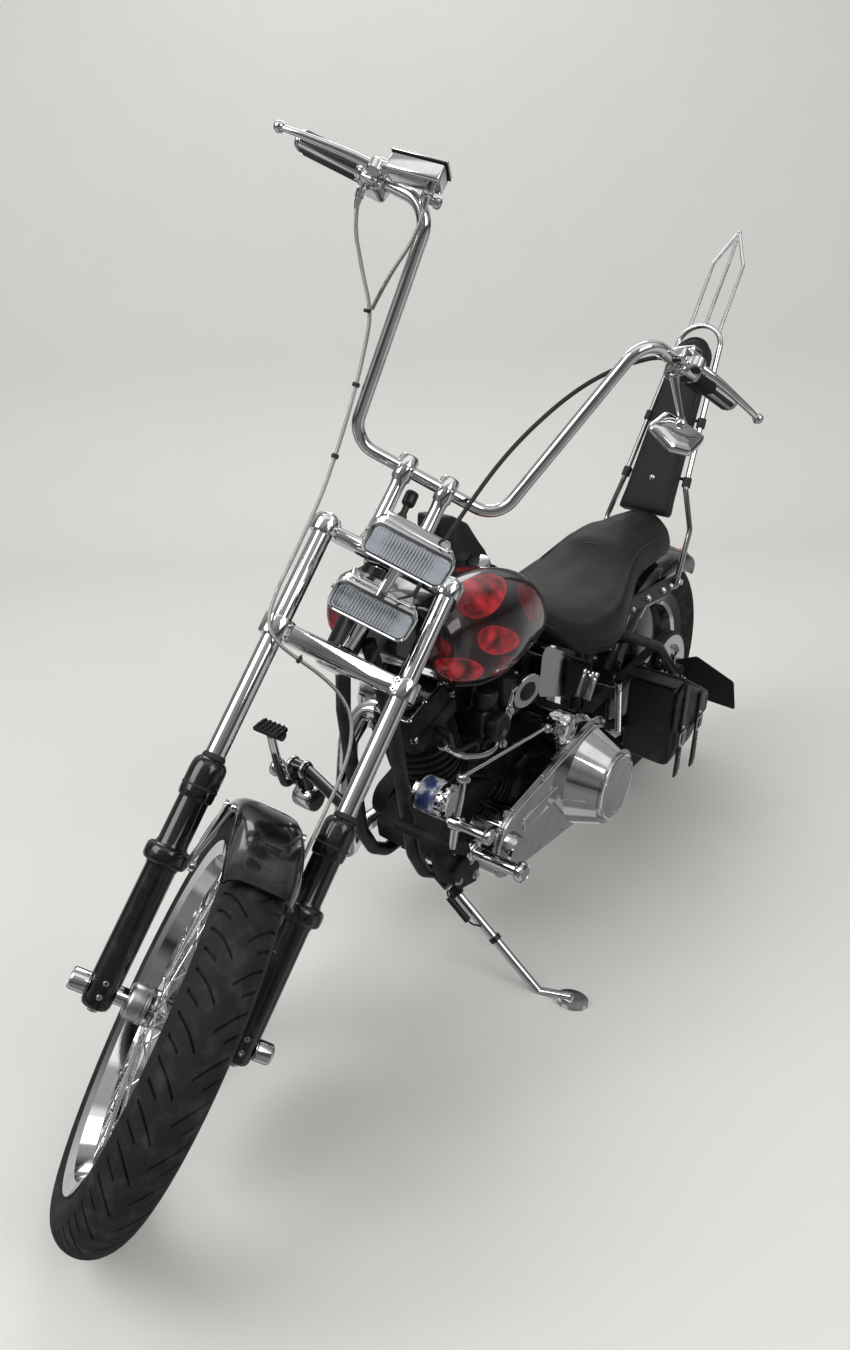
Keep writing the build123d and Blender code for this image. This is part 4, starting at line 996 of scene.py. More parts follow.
class CHOPPER_OT_fork(bpy.types.Operator):
    """Finishes the fork, its yokes, the front mudguard and the caliper"""
    bl_idname = "chopper.fork"
    bl_label = "Fork and mudguard"
    bl_options = {"REGISTER", "UNDO"}

    def execute(self, context):
        dress("chrome", "fork_tubes", "front_axle", "lamp_bracket")
        yokes = Shape(FORK)
        for low, high, boss, waist in ((800, 826, 25, 40), (607, 643, 27, 42)):
            yokes.box((waist, 236, high - low - 3), moved(-8, 0, (low + high) / 2), 7, 4)
            disc = solid((30, low), (32, low + 2), (32, high - 2), (30, high))
            yokes.lathe(disc, moved(-FORK_OFFSET, 0, 0), 56)
            ring = [(20.2, low), (boss - 3, low), (boss - 0.8, low + 0.8), (boss, low + 3), (boss, high - 3)]
            ring += [(boss - 0.8, high - 0.8), (boss - 3, high), (20.2, high)]
            for hand in HANDS:
                yokes.lathe(ring, moved(0, hand * FORK_SIDE, 0), 56)
        yokes.lathe(solid((15, 640), (15, 803)), moved(-FORK_OFFSET, 0, 0), 32)
        yokes.done("yokes", "steering", "chrome", ("upper_tree", "lower_tree"), smooth=50)
        dress("black", "front_caliper")
        legs = Shape(FORK)
        profile = [(CORE, -30), (17, -30), (21, -27.5), (23.4, -22), (24.4, -12), (24.8, 10), (25, 60), (25, 200)]
        profile += [
            (27, 206), (33, 208), (36, 211.5), (37, 217), (37, 227), (36, 232.5), (33, 236), (27, 238), (25, 244),
        ]
        profile += [(25, 318), (27.6, 319.4), (28.8, 323), (29.4, 330), (29.6, 362), (29.2, 372), (27.8, 379)]
        profile += [(25, 384), (21, 387.6), (17.1, 388)]
        for hand in HANDS:
            legs.lathe(profile, moved(0, hand * FORK_SIDE, 0), 56)
        legs.done("fork_leg_pieces", "steering", "black", ("fork_legs",), smooth=50)
        seals = Shape(FORK)
        for hand in HANDS:
            seals.lathe(
                [(17.1, 388), (19.5, 388), (20, 390), (19, 394), (17.1, 397)], moved(0, hand * FORK_SIDE, 0), 40,
            )
            seals.lathe([(29.2, 337.4), (30.1, 338), (30.1, 341), (29.2, 341.6)], moved(0, hand * FORK_SIDE, 0), 48)
        seals.done("fork_seals", "steering", "rubber")
        bolts = Shape(FORK)
        for hand in HANDS:
            for level in (813, 634, 616):
                reach = 26 if level > 800 else 28
                bolts.cap_screw(
                    facing((reach * 0.62, hand * (FORK_SIDE - reach * 0.62), level), (0.7, -hand * 0.7, 0)), 5, 6,
                )
            bolts.lathe(
                [(CORE, 829), (8, 829), (8, 833), (20, 832), (22, 828.2), (22, 826.1)][::-1],
                moved(0, hand * FORK_SIDE, 0), 40,
            )
            bolts.hex_bolt(moved(0, hand * FORK_SIDE, 830), 19, 8, washer=False)
            bolts.cap_screw(facing((0, hand * FORK_SIDE, -32), (0, 0, -1)), 8, 4)
            bolts.cap_screw(facing((22.5, hand * FORK_SIDE, 14), (1, 0, 0)), 4.5, 5)
            bolts.cap_screw(facing((22.5, hand * FORK_SIDE, -8), (1, 0, 0)), 4.5, 5)
            bolts.lathe(
                solid((16.4, 0), (18, 2), (18, 24), (17, 27), (15, 29), (11, 29), (10, 26)),
                sideways(0, hand * 141, 0, hand), 40,
            )
        bolts.hex_bolt(moved(-FORK_OFFSET, 0, 826.1), 27, 12)
        bolts.done("fork_bolts", "steering", "chrome")
        outer = mirrored([(337, 57.6), (343, 55.6), (349, 51), (353.6, 44), (356, 35), (357, 22), (357, 8)])
        inner = [(radius - 3.0, side * 0.955) for radius, side in reversed(outer)]
        lips = [(335, -57), (335.2, -59.4), (334.4, -56)]
        section = [(335.2, 59.4), (335, 57)] + outer + lips + inner + [(334.4, 56)]
        mudguard = Shape(FORK)
        mudguard.rings(swept(section, 45, 95, 72, taper=0.10, run=7))
        mudguard.done("front_mudguard", "steering", "black", ("front_fender",), smooth=48)
        stays = Shape(FORK)
        for hand in HANDS:
            stays.pipe(
                [(-8, hand * 84, 222), (-30, hand * 72, 268), (-60, hand * 62, 316), (-74, hand * 59.5, 331)], 4.5,
            )
            stays.pipe([(8, hand * 84, 222), (22, hand * 72, 268), (36, hand * 62, 316), (44, hand * 59.5, 333)], 4.5)
            for spot in ((-74, 59.5, 331), (44, 59.5, 333)):
                stays.cap_screw(sideways(spot[0], hand * (spot[1] - 2), spot[2], hand), 7, 7)
            stays.lathe(solid((9, 0), (9, 8), (7, 10)), sideways(0, hand * 80, 222, -hand), 24)
        stays.done("mudguard_stays", "steering", "chrome")
        return {"FINISHED"}


# Where the headlamps' lenses stand, as X and Z with the fork straight.
LAMPS = ((1310, 1053), (1297, 930))
# Headlamp forms: depth, half width, half height and corner.
LAMP_SHELL = (
    (-46, 14, 7, 5), (-44, 34, 13, 9), (-30, 55, 19.6, 10), (-14, 64, 24, 11), (-1.5, 66, 25, 11), (0.4, 68, 27, 13),
    (-1.5, 71.4, 30.6, 16), (-6, 72, 31, 16), (-16, 71.6, 30.8, 16), (-30, 70.2, 29.4, 16), (-44, 66, 26.8, 16),
    (-60, 60, 23.4, 16), (-72, 55, 20.8, 14), (-78, 50, 17.6, 13), (-78.5, 30, 8, 7),
)
LAMP_BOWL = (
    (-4, 65, 24, 10), (-13, 62, 22, 10), (-22, 54, 18, 9), (-30, 43, 14, 9), (-37, 28, 9.6, 8), (-41, 12, 5, 4),
)
LAMP_LENS = (
    (-3.6, 65.6, 24.6, 10.6), (-0.6, 65.6, 24.6, 10.6), (0.7, 64, 23, 10), (1.6, 40, 14, 8), (1.9, 14, 6, 5),
)


class CHOPPER_OT_lamps(bpy.types.Operator):
    """Fits the two square headlamps with fluted glass and the tail lamp"""
    bl_idname = "chopper.lamps"
    bl_label = "Lamps"
    bl_options = {"REGISTER", "UNDO"}

    def execute(self, context):
        shells, lenses, bowls, bulbs, trims = (Shape(FORK) for _ in range(5))
        to_fork = (moved(WHEELBASE, 0, FRONT_RADIUS) @ FORK_AXES).inverted()
        for x, z in LAMPS:
            origin = to_fork @ Vector((x, 0, z))
            look = (to_fork.to_3x3() @ Vector((1, 0, 0))).normalized()
            up = (to_fork.to_3x3() @ Vector((0, 0, 1))).normalized()
            at = frame_of(Vector((0, 1, 0)), up, look, origin)
            shells.rings(boxy(at, LAMP_SHELL))
            bowls.rings(boxy(at, LAMP_BOWL))
            bulbs.lathe([(CORE, -40), (6, -40), (6, -27), (4.6, -22), (CORE, -19.6)], at, 24)
            lenses.rings(boxy(at, LAMP_LENS))
            for hand in HANDS:
                trims.cap_screw(at @ facing((hand * 71.8, 0, -20), (hand, 0, 0)), 4, 3)
            trims.box((112, 5, 40), at @ moved(0, 28.4, -36) @ turned(-4, "X"), 2.4)
            trims.cap_screw(at @ sideways(54, 29.6, -22), 6, 3)
            trims.lathe(solid((12, 0), (13, 2), (13, 9), (8, 10), (8, 15)), at @ sideways(0, -30, -40, -1), 28)
            trims.hex_bolt(at @ sideways(0, -44, -40, -1), 15, 7)
        shells.done("headlamp_shells", "steering", "chrome", ("headlamps",), smooth=32)
        bowls.done("headlamp_bowls", "steering", "reflector")
        # The bulbs glow as a painted highlight in the middle of each lens.
        bulbs.done("headlamp_bulbs", "steering", "bulb_highlight")
        lenses.done("headlamp_lenses", "steering", "glass", ("lamp_glasses",), smooth=30)
        trims.done("headlamp_trim", "steering", "chrome")
        wires = Shape(FORK)
        wires.pipe([(30, 18, 700), (46, 16, 716), (60, 10, 722)], 5)
        wires.pipe([(36, -16, 652), (48, -20, 680), (44, -24, 712)], 4)
        wires.done("lamp_wires", "steering", "rubber")
        lamp = Shape(MACHINE)
        at = facing((-265, 0, 574), (-sin(radians(48)), 0, cos(radians(48))))
        lamp.lathe([(CORE, 11), (12, 10.6), (21, 8), (26, 3), (28, -5), (28, -9), (CORE, -9)], at, 48)
        lamp.done("tail_lamp_lens", "chassis", "red", ("tail_lamp",))
        cup = Shape(MACHINE)
        cup.lathe(
            [(CORE, -19), (14, -18.4), (26, -16), (30, -11), (31, -7), (31, -4), (28.6, -3.4), (28.4, -9), (CORE, -9)],
            at, 48,
        )
        strip = []
        for step in range(25):
            angle, t = radians(110 + 29 * step / 24), step / 24
            low, half = 341.4 + 8 * t, 25 - 6 * t
            edge = [(low, half), (low + 3.4, half), (low + 3.4, -half), (low, -half)]
            strip.append([on_wheel(radius, side, angle) + Vector((0, 0, REAR_RADIUS)) for radius, side in edge])
        cup.rings(strip)
        cup.done("tail_lamp_cup", "chassis", "black")
        return {"FINISHED"}


def rounded(wide, high, corner, steps=5):
    """Points of a rounded rectangle, given by its half sizes."""
    points = []
    for number, (sx, sy) in enumerate(((1, 1), (-1, 1), (-1, -1), (1, -1))):
        for step in range(steps + 1):
            angle = radians(90 * number + 90 * step / steps)
            x, y = sx * (wide - corner), sy * (high - corner)
            points.append((x + corner * cos(angle), y + corner * sin(angle)))
    return points


GRIP_END, GRIP_IN = Vector((79, 428, 1344)), Vector((200, 200, 1292))
GRIP_WAY = (GRIP_IN - GRIP_END).normalized()


def on_bar(distance, hand):
    """The frame on a grip's line, its Z axis pointing inwards."""
    point = GRIP_END + GRIP_WAY * distance
    return facing((point.x, hand * point.y, point.z), (GRIP_WAY.x, hand * GRIP_WAY.y, GRIP_WAY.z))


class CHOPPER_OT_bars(bpy.types.Operator):
    """Fits grips, levers, the master cylinder and the mirror to the tall handlebar"""
    bl_idname = "chopper.bars"
    bl_label = "Handlebar"
    bl_options = {"REGISTER", "UNDO"}

    def execute(self, context):
        dress("chrome", "handlebar")
        grips, bright, black = Shape(FORK), Shape(FORK), Shape(FORK)
        for hand in HANDS:
            at = on_bar(0, hand)
            bright.lathe([(11.3, 4), (15, 4), (16.6, 6), (16.6, 124), (15, 127), (11.3, 127)], at, 40)
            for number in range(6):
                strip = at @ turned(60 * number + 20, "Z")
                grips.box((5, 8.6, 114), strip @ moved(16.4, 0, 65), 1.8)
            bright.lathe([(CORE, -7), (10, -6.4), (15, -3), (16.6, 0), (16.6, 3.6), (11.2, 3.8)], at, 40)
            bright.lathe(
                [
                    (11.3, 129), (20, 129), (22, 131), (22, 142), (20.6, 144), (20.6, 152), (22, 154), (22, 168),
                    (20, 170), (11.3, 170),
                ],
                at, 48,
            )
            bright.box((15, 30, 26), at @ moved(0, 0, 150) @ turned(25, "Z") @ moved(21, 4, 0), 4)
            perch = on_bar(146, hand).translation + Vector((42, 0, -10))
            ball = Vector((147, hand * 459, 1304))
            bright.lathe(collar(CORE, 12, 14, 10, 8), moved(*perch), 28)
            bright.cap_screw(moved(perch.x, perch.y, perch.z + 10), 6, 4)
            start = on_bar(146, hand).translation + Vector((18, 0, -4))
            bright.pipe([start, perch], 9, smooth=0)
            mid = perch.lerp(ball, 0.3) + Vector((9, 0, -2))
            far = perch.lerp(ball, 0.75) + Vector((5, 0, -1))
            bright.pipe([perch, mid, far, ball], 6, 16, 10, radii=[8, 7.4, 6.4, 5.6, 4.6])
            bright.lathe(
                [(CORE, -9.6), (5, -8.2), (8.4, -4.6), (9.8, 0), (8.4, 4.6), (5, 8.2), (CORE, 9.6)], moved(*ball), 24,
            )
            bright.box((44, 46, 44), at @ moved(6, 0, 154), 9, 4)
            bright.box((34, 14, 26), at @ moved(6, 24, 154), 3)
            bright.box((30, 30, 30), at @ moved(-12, -8, 156), 6)
            black.box((12, 16, 8), at @ moved(-20, -8, 150), 2)
            if hand < 0:  # the master cylinder and its reservoir
                centre = GRIP_END + GRIP_WAY * 214
                block = moved(centre.x + 38, -centre.y, centre.z + 18) @ turned(-28, "Z")
                bright.box((36, 90, 30), block @ moved(0, 0, -3), 4)
                bright.box((39, 94, 6), block @ moved(0, 0, 15.5), 2)
                for sx in (-1, 1):
                    for sy in (-1, 1):
                        bright.cap_screw(block @ moved(sx * 14, sy * 40, 18.4), 3, 2)
                black.box((39.4, 94.4, 1.6), block @ moved(0, 0, 12.2), 0.5)
                neck = GRIP_END + GRIP_WAY * 188
                bright.pipe([perch, (neck.x + 36, -neck.y, neck.z + 10)], 10, smooth=0)
                bright.lathe(solid((9, 0), (9, 12), (6, 14)), facing((222, -216, 1303), (0.1, 0.1, -1)), 20)
                bright.lathe(
                    solid((6, -17), (9.6, -14), (9.6, -7), (7, -6), (7, 6), (9.6, 7), (9.6, 14), (6, 17)),
                    facing((208, -206, 1295), (0.15, 1, 0)), 24,
                )
            else:  # the clutch lever's block and the switches
                bright.box((30, 34, 24), moved(perch.x - 12, perch.y - 24, perch.z + 4) @ turned(28, "Z"), 5)
                black.box((40, 37, 58), at @ moved(0, 0, 99), 9, 4)
                for level in (84, 104):
                    black.lathe(
                        [(CORE, 4), (5, 3.4), (6, 1), (6, -4), (CORE, -4)], at @ facing((-20, 6, level), (-1, 0, 0)),
                        20,
                    )
        grips.done("grip_pieces", "steering", "rubber", ("grips",))
        bright.done("levers_and_clamps", "steering", "chrome", ("bar_controls",))
        black.done("bar_switches", "steering", "plastic")
        shell, glass = Shape(FORK), Shape(FORK)
        outline = round_off([(-31, 27), (53, 21), (49, 3), (32, -37), (-7, -52), (-52, -30), (-52, -17)], 7)
        up = Vector((1, 0, 0.45)).normalized()
        side = Vector((0, 1, 0))
        face = frame_of(side, up.cross(side), up, (125, 339, 1214))
        layers = ((1.0, 0), (1.03, 2), (1.02, 6), (0.96, 10), (0.82, 13.2), (0.55, 15), (0.2, 15.6))
        shell.rings(layered(face, outline, layers))
        shell.lathe([(CORE, 10), (11, 10), (12, 14), (10, 20), (7, 24), (CORE, 25)], face @ moved(-2, 10, 0), 24)
        end = GRIP_END + GRIP_WAY * 166 + Vector((-2, 0, -22))
        shell.pipe([face @ Vector((-2, 10, 18)), end], 6, smooth=0, radii=[5, 8.4])
        shell.hex_bolt(facing(end, (0, 0, -1)), 14, 6)
        glass.rings(layered(face, outline, ((0.9, 0.2), (0.93, -1.2), (0.9, -1.6))))
        shell.done("mirror_shell", "steering", "chrome", ("mirror",), smooth=50)
        glass.done("mirror_face", "steering", "mirror")
        risers = Shape(FORK)
        # Each riser's heights and radii: a turned post under a clamp for the bar.
        post = (
            (826.2, 20), (832, 18.4), (838, 16), (870, 13.5), (930, 12.5), (944, 13.5), (948, 16.5), (965, 17.4),
            (966.5, 16.2), (968, 17.4), (986, 17.4), (990, 15), (990, 6), (985, 5.6), (984.9, 1),
        )
        for hand in HANDS:
            rows = []
            for height, radius in post:
                middle = (-6 + 11 * min(1.0, (height - 826) / 130), hand * 40)
                rows.append([Vector((x, y, height)) for x, y in around(middle, radius, range(0, 360, 9))])
            risers.rings(rows)
            risers.lathe(collar(11.3, 14, 15.4, 14, 12), sideways(5, hand * 40, 967), 40)
        risers.done("riser_pieces", "steering", "chrome", ("risers",))
        gauge = Shape(FORK)
        gauge.lathe(
            solid((9, 826.2), (9, 900), (6, 906), (6, 918), (11, 922), (12, 926), (12, 944), (10, 947)),
            moved(-24, -6, 0), 32,
        )
        gauge.done("bar_gauge", "steering", "dark_steel")
        return {"FINISHED"}


def round_off(corners, radius, steps=6):
    """A polygon with rounded corners."""
    made = []
    count = len(corners)
    for number in range(count):
        corner = Vector(corners[number])
        before = (Vector(corners[number - 1]) - corner).normalized()
        after = (Vector(corners[(number + 1) % count]) - corner).normalized()
        for step in range(steps + 1):
            t = step / steps
            made.append(tuple(corner + before * radius * (1 - t) ** 2 + after * radius * t ** 2))
    return made


def body_section(half, floor, shoulder, crown, steps, tuck, lobes):
    """Half of a tank's or seat's cross section, from the middle of its floor to its crown."""
    height, rise = shoulder - floor, crown - shoulder
    if lobes:
        knots = [
            (0, floor), (half * 0.48, floor), (half * 0.8, floor + height * 0.04), (half * 0.95, floor + height * 0.24),
            (half, floor + height * 0.58), (half * 0.975, floor + height * 0.92), (half * 0.9, shoulder + rise * 0.36),
            (half * 0.74, shoulder + rise * 0.84), (half * 0.52, crown + 5), (half * 0.28, crown + 1), (0, crown - 5),
        ]
    else:
        knots = [
            (0, floor), (half * tuck * 0.6, floor), (half * tuck, floor + height * 0.03),
            (half * 0.96, floor + height * 0.22), (half, floor + height * 0.55), (half * 0.93, shoulder),
            (half * 0.78, shoulder + rise * 0.42), (half * 0.45, shoulder + rise * 0.84), (0, crown),
        ]
    return [(max(0.0, point.x), point.y) for point in curved([(y, z, 0) for y, z in knots], steps)]


def lofted(stations, fill, bow, tuck=0.8, lobes=False):
    """Rings of a body through its stations, rounded over at both ends."""
    rows = []
    table = spread(stations, fill)
    for number, (x, half, floor, shoulder, crown) in enumerate(table):
        section = body_section(half, floor, shoulder, crown, 5, tuck, lobes)
        whole = [(y, z) for y, z in section] + [(-y, z) for y, z in reversed(section[1:-1])]
        rows.append([Vector((x, y, z)) for y, z in whole])
    ahead = 1 if table[0][0] > table[-1][0] else -1
    for end, way in ((0, ahead), (-1, -ahead)):
        base = rows[end]
        middle = sum(base, Vector()) / len(base)
        for scale, push in ((0.94, bow * 0.45), (0.8, bow * 0.8), (0.5, bow)):
            ring = [middle + (point - middle) * scale + Vector((way * push, 0, 0)) for point in base]
            rows = [ring] + rows if end == 0 else rows + [ring]
    return rows


# Stations along X: half width, floor, shoulder and crown.
TANK = (
    (1112, 142, 748, 824, 858), (1076, 156, 712, 832, 876), (1000, 166, 690, 822, 880),
    (920, 166, 683, 804, 874), (840, 156, 690, 790, 852), (770, 138, 700, 770, 820), (708, 104, 715, 746, 770),
)
SEAT = (
    (698, 92, 690, 722, 742), (600, 146, 612, 674, 706), (520, 158, 582, 664, 692), (430, 154, 566, 672, 690),
    (350, 130, 604, 700, 716), (290, 112, 655, 724, 752), (235, 104, 672, 732, 784), (170, 96, 674, 728, 782),
    (100, 90, 674, 728, 780), (40, 84, 674, 726, 776),
)


class CHOPPER_OT_tank(bpy.types.Operator):
    """Shapes the painted tank with its cap, console and dash"""
    bl_idname = "chopper.tank"
    bl_label = "Fuel tank"
    bl_options = {"REGISTER", "UNDO"}

    def execute(self, context):
        tank = Shape(MACHINE)
        tank.rings(lofted(TANK, 9, 7, lobes=True))
        tank.done("painted_tank", "chassis", "tank", ("fuel_tank",), smooth=60)
        dress("chrome", "tank_console")
        seam = Shape(MACHINE)
        for hand in HANDS:
            seam.pipe([(x, hand * half * 0.8, floor + 1) for x, half, floor, *_ in TANK[1:]], 3.2)
        seam.done("tank_seams", "chassis", "black")
        cap = Shape(MACHINE)
        at = moved(812, 0, 838) @ turned(22, "Y")
        rim = [22 + (0.9 if number % 4 < 2 else 0) for number in range(72)]
        turns = [radians(number * 5) for number in range(72)]
        outline = [(radius * cos(turn), radius * sin(turn)) for radius, turn in zip(rim, turns)]
        cap.rings(layered(at, outline, ((0.9, -8), (1.0, -4), (1.0, 8), (0.94, 11), (0.6, 12.4), (0.2, 12.8))))
        cap.done("filler_cap_piece", "chassis", "chrome", ("filler_cap",))
        dash = Shape(MACHINE)
        outline = [(925, 840), (925, 960), (875, 950), (821, 922), (759, 852), (712, 800), (712, 770), (800, 800)]
        dash.prism([(x, z) for x, z in outline], 54, moved(0, -50, 0) @ turned(90, "X"), 7, 4)
        piece = dash.done("tank_dash_bag", "chassis", "bag", ("tank_dash",))
        return {"FINISHED"}


def draped(rows, lift):
    """Rings with a slow swell, so that hide looks stuffed."""
    made = []
    for row in rows:
        made.append([point + lift * noise.noise(point / 60) * Vector((0, 0, 1)) for point in row])
    return made


class CHOPPER_OT_seat(bpy.types.Operator):
    """Shapes the leather seat, the back rest's pad and its button"""
    bl_idname = "chopper.seat"
    bl_label = "Seat and pad"
    bl_options = {"REGISTER", "UNDO"}

    def execute(self, context):
        rows = lofted(SEAT, 9, 5, 0.86)
        made = []
        for row in rows:
            ring = []
            for point in row:
                x, y, z = point
                # The dished saddle, and the lip at the foot of the step behind it.
                bowl = exp(-((x - 500) / 95) ** 2 - (y / 95) ** 2)
                top = z > 630 or x < 360
                lip = exp(-((x - 284) / 20) ** 2) * exp(-(y / 95) ** 4)
                ring.append(Vector((x, y, z + (-7 * bowl + 7 * lip if top and z > 660 else 0))))
            made.append(ring)
        seat = Shape(MACHINE)
        seat.rings(draped(made, 3.0))
        piece = seat.done("leather_seat", "chassis", "leather", ("seat",), smooth=70)
        piping = Shape(MACHINE)
        for hand in HANDS:
            line = []
            for x, half, floor, shoulder, crown in SEAT[:-1]:
                line.append((x, hand * (half * 0.985 + 0.6), floor + (shoulder - floor) * 0.36))
            piping.pipe(line, 2.6, 10, 8)
            rib = []
            for x, half, floor, shoulder, crown in SEAT[4:-1]:
                rib.append((x, hand * (half * 0.88), shoulder + (crown - shoulder) * 0.2 + 1.5))
            piping.pipe(rib, 2.2, 10, 8)
        across = [(300, -104, 716), (298, -70, 738), (296, 0, 750), (298, 70, 738), (300, 104, 716)]
        piping.pipe(across, 2.2, 10, 8)
        piping.done("seat_piping", "chassis", "bag")
        rivets = Shape(MACHINE)
        for hand in HANDS:
            for x, z in ((407, 560), (352, 580), (300, 622)):
                rivets.lathe([(CORE, 4), (5, 3), (7, 0), (7, -3), (CORE, -3)], sideways(x, hand * 118, z - 8, hand), 18)
        rivets.done("seat_rivets", "chassis", "chrome")
        low, high = Vector((30, 0, 762)), Vector((-181, 0, 1172))
        way = (high - low).normalized()
        front = way.cross(Vector((0, 1, 0)))
        front = front if front.x > 0 else -front
        length = (high - low).length
        outline = [(-62, 6), (-66, 14)] + [(-64 + 20 * t / 10, 14 + (length - 62) * t / 10) for t in range(1, 10)]
        arch = around((0, length - 44), 44, range(180, -1, -12))
        outline += arch + [(-x, y) for x, y in reversed(outline)]
        middle = length * 0.5
        layers = (
            (0.9, -21), (0.97, -18), (1.0, -10), (1.0, 8), (0.975, 16), (0.9, 21), (0.75, 23.5), (0.5, 25), (0.2, 25.6),
        )
        rows = []
        for scale, depth in layers:
            row = []
            for x, y in outline:
                # The rounded edge takes less off the pad's length than off its width.
                along = middle + (y - middle) * (1 - (1 - scale) * 0.28)
                row.append(low + Vector((0, x * scale, 0)) + way * along + front * depth)
            rows.append(row)
        pad = Shape(MACHINE)
        pad.rings(draped(rows, 1.5))
        piece = pad.done("back_rest_pad", "chassis", "leather", ("backrest_pad",), smooth=60)
        edge = Shape(MACHINE)
        edge.pipe([low + Vector((0, x * 0.985, 0)) + way * y + front * 15 for x, y in outline], 2.4, 10, 2)
        edge.done("pad_piping", "chassis", "bag")
        button = Shape(MACHINE)
        spot = low + way * 92 + front * 24.6
        button.lathe([(CORE, 4.5), (4, 4), (7, 2), (8, 0), (8, -3), (CORE, -3)], facing(spot, front), 24)
        button.done("pad_button", "chassis", "chrome")
        return {"FINISHED"}


class CHOPPER_OT_bag(bpy.types.Operator):
    """Sews the leather side bag with its flap, straps and buckles"""
    bl_idname = "chopper.bag"
    bl_label = "Side bag"
    bl_options = {"REGISTER", "UNDO"}

    def execute(self, context):
        on_side = turned(90, "X")
        body = Shape(MACHINE)
        outline = [(142, 300), (200, 264), (338, 248), (343, 440), (340, 462), (300, 468), (142, 374)]
        rows = []
        ring = round_off(outline, 16, 5)
        cx = sum(x for x, z in ring) / len(ring)
        cz = sum(z for x, z in ring) / len(ring)
        layers = (
            (0.9, 145.4), (0.96, 147), (0.99, 152), (1.0, 170), (1.015, 205), (1.0, 245), (0.985, 258), (0.95, 265),
            (0.86, 268.6), (0.5, 269.8),
        )
        for scale, y in layers:
            rows.append([Vector((cx + (x - cx) * scale, y, cz + (z - cz) * scale)) for x, z in ring])
        body.rings(draped(rows, 7.0))
        piece = body.done("side_bag_body", "chassis", "bag", ("side_bag",), smooth=55)
        flap = Shape(MACHINE)
        edge = [(346, 452), (348, 400), (346, 352), (280, 330), (200, 318), (140, 330), (134, 352), (136, 378)]
        flap.prism(edge + [(302, 470)], 5, moved(0, 273, 0) @ on_side, 1.6)
        flap.box((54, 128, 5), moved(324, 208, 471) @ turned(4, "Y"), 2)
        flap.box((196, 128, 5), moved(220, 208, 429) @ turned(-29.5, "Y"), 2)
        flap.done("bag_flap", "chassis", "bag")
        straps, buckles = Shape(MACHINE), Shape(MACHINE)
        for x, top_z, low_z in ((300, 462, 214), (196, 405, 196)):
            straps.box((24, 5, top_z - low_z), moved(x, 278.5, (top_z + low_z) / 2), 1.6)
            straps.box((22, 4, 60), moved(x + 3, 281.5, low_z + 46) @ turned(4, "Y"), 1.4)
            frame_at = moved(x, 283, 322)
            for px, pz, wide, high in ((0, 15, 34, 4), (0, -15, 34, 4), (15, 0, 4, 34), (-15, 0, 4, 34)):
                buckles.box((wide, 4, high), frame_at @ moved(px, 0, pz), 1.6)
            buckles.box((3, 4, 30), frame_at @ moved(0, 1.5, 0), 1.2)
            for level in (300, 350, 268):
                buckles.lathe([(CORE, 3), (3, 2.4), (4.4, 0), (4.4, -2), (CORE, -2)], sideways(x, 281.4, level), 14)
        straps.done("bag_straps", "chassis", "bag")
        buckles.done("bag_buckles", "chassis", "chrome")
        stitches = Shape(MACHINE)
        line = curved([(x, z, 0) for x, z in edge], 10)
        for number in range(0, len(line) - 2, 2):
            point, after = line[number], line[number + 1]
            way = (after - point).normalized()
            spot = point + Vector((-way.y, way.x, 0)) * -6
            tilt = turned(-degrees(atan2(way.y, way.x)), "Y")
            stitches.box((4.4, 1.2, 1.2), moved(spot.x, 275.8, spot.y) @ tilt, 0.4, 1)
        stitches.done("bag_stitches", "chassis", "rubber")
        return {"FINISHED"}


BREATHER = (
    (1061, 96, 573), (1030, 112, 545), (989, 116, 525), (930, 116, 506), (894, 114, 514), (862, 112, 562),
    (836, 108, 610),
)
# The spark plug in a cylinder's own frame.
PLUG = Vector((10, 62, 300))
# Centres on the machine's side, as X and Z: the clutch and sprocket ends of the primary cover, and its derby.
CLUTCH, SPROCKET, DERBY = (600, 330), (905, 312), (588, 310)


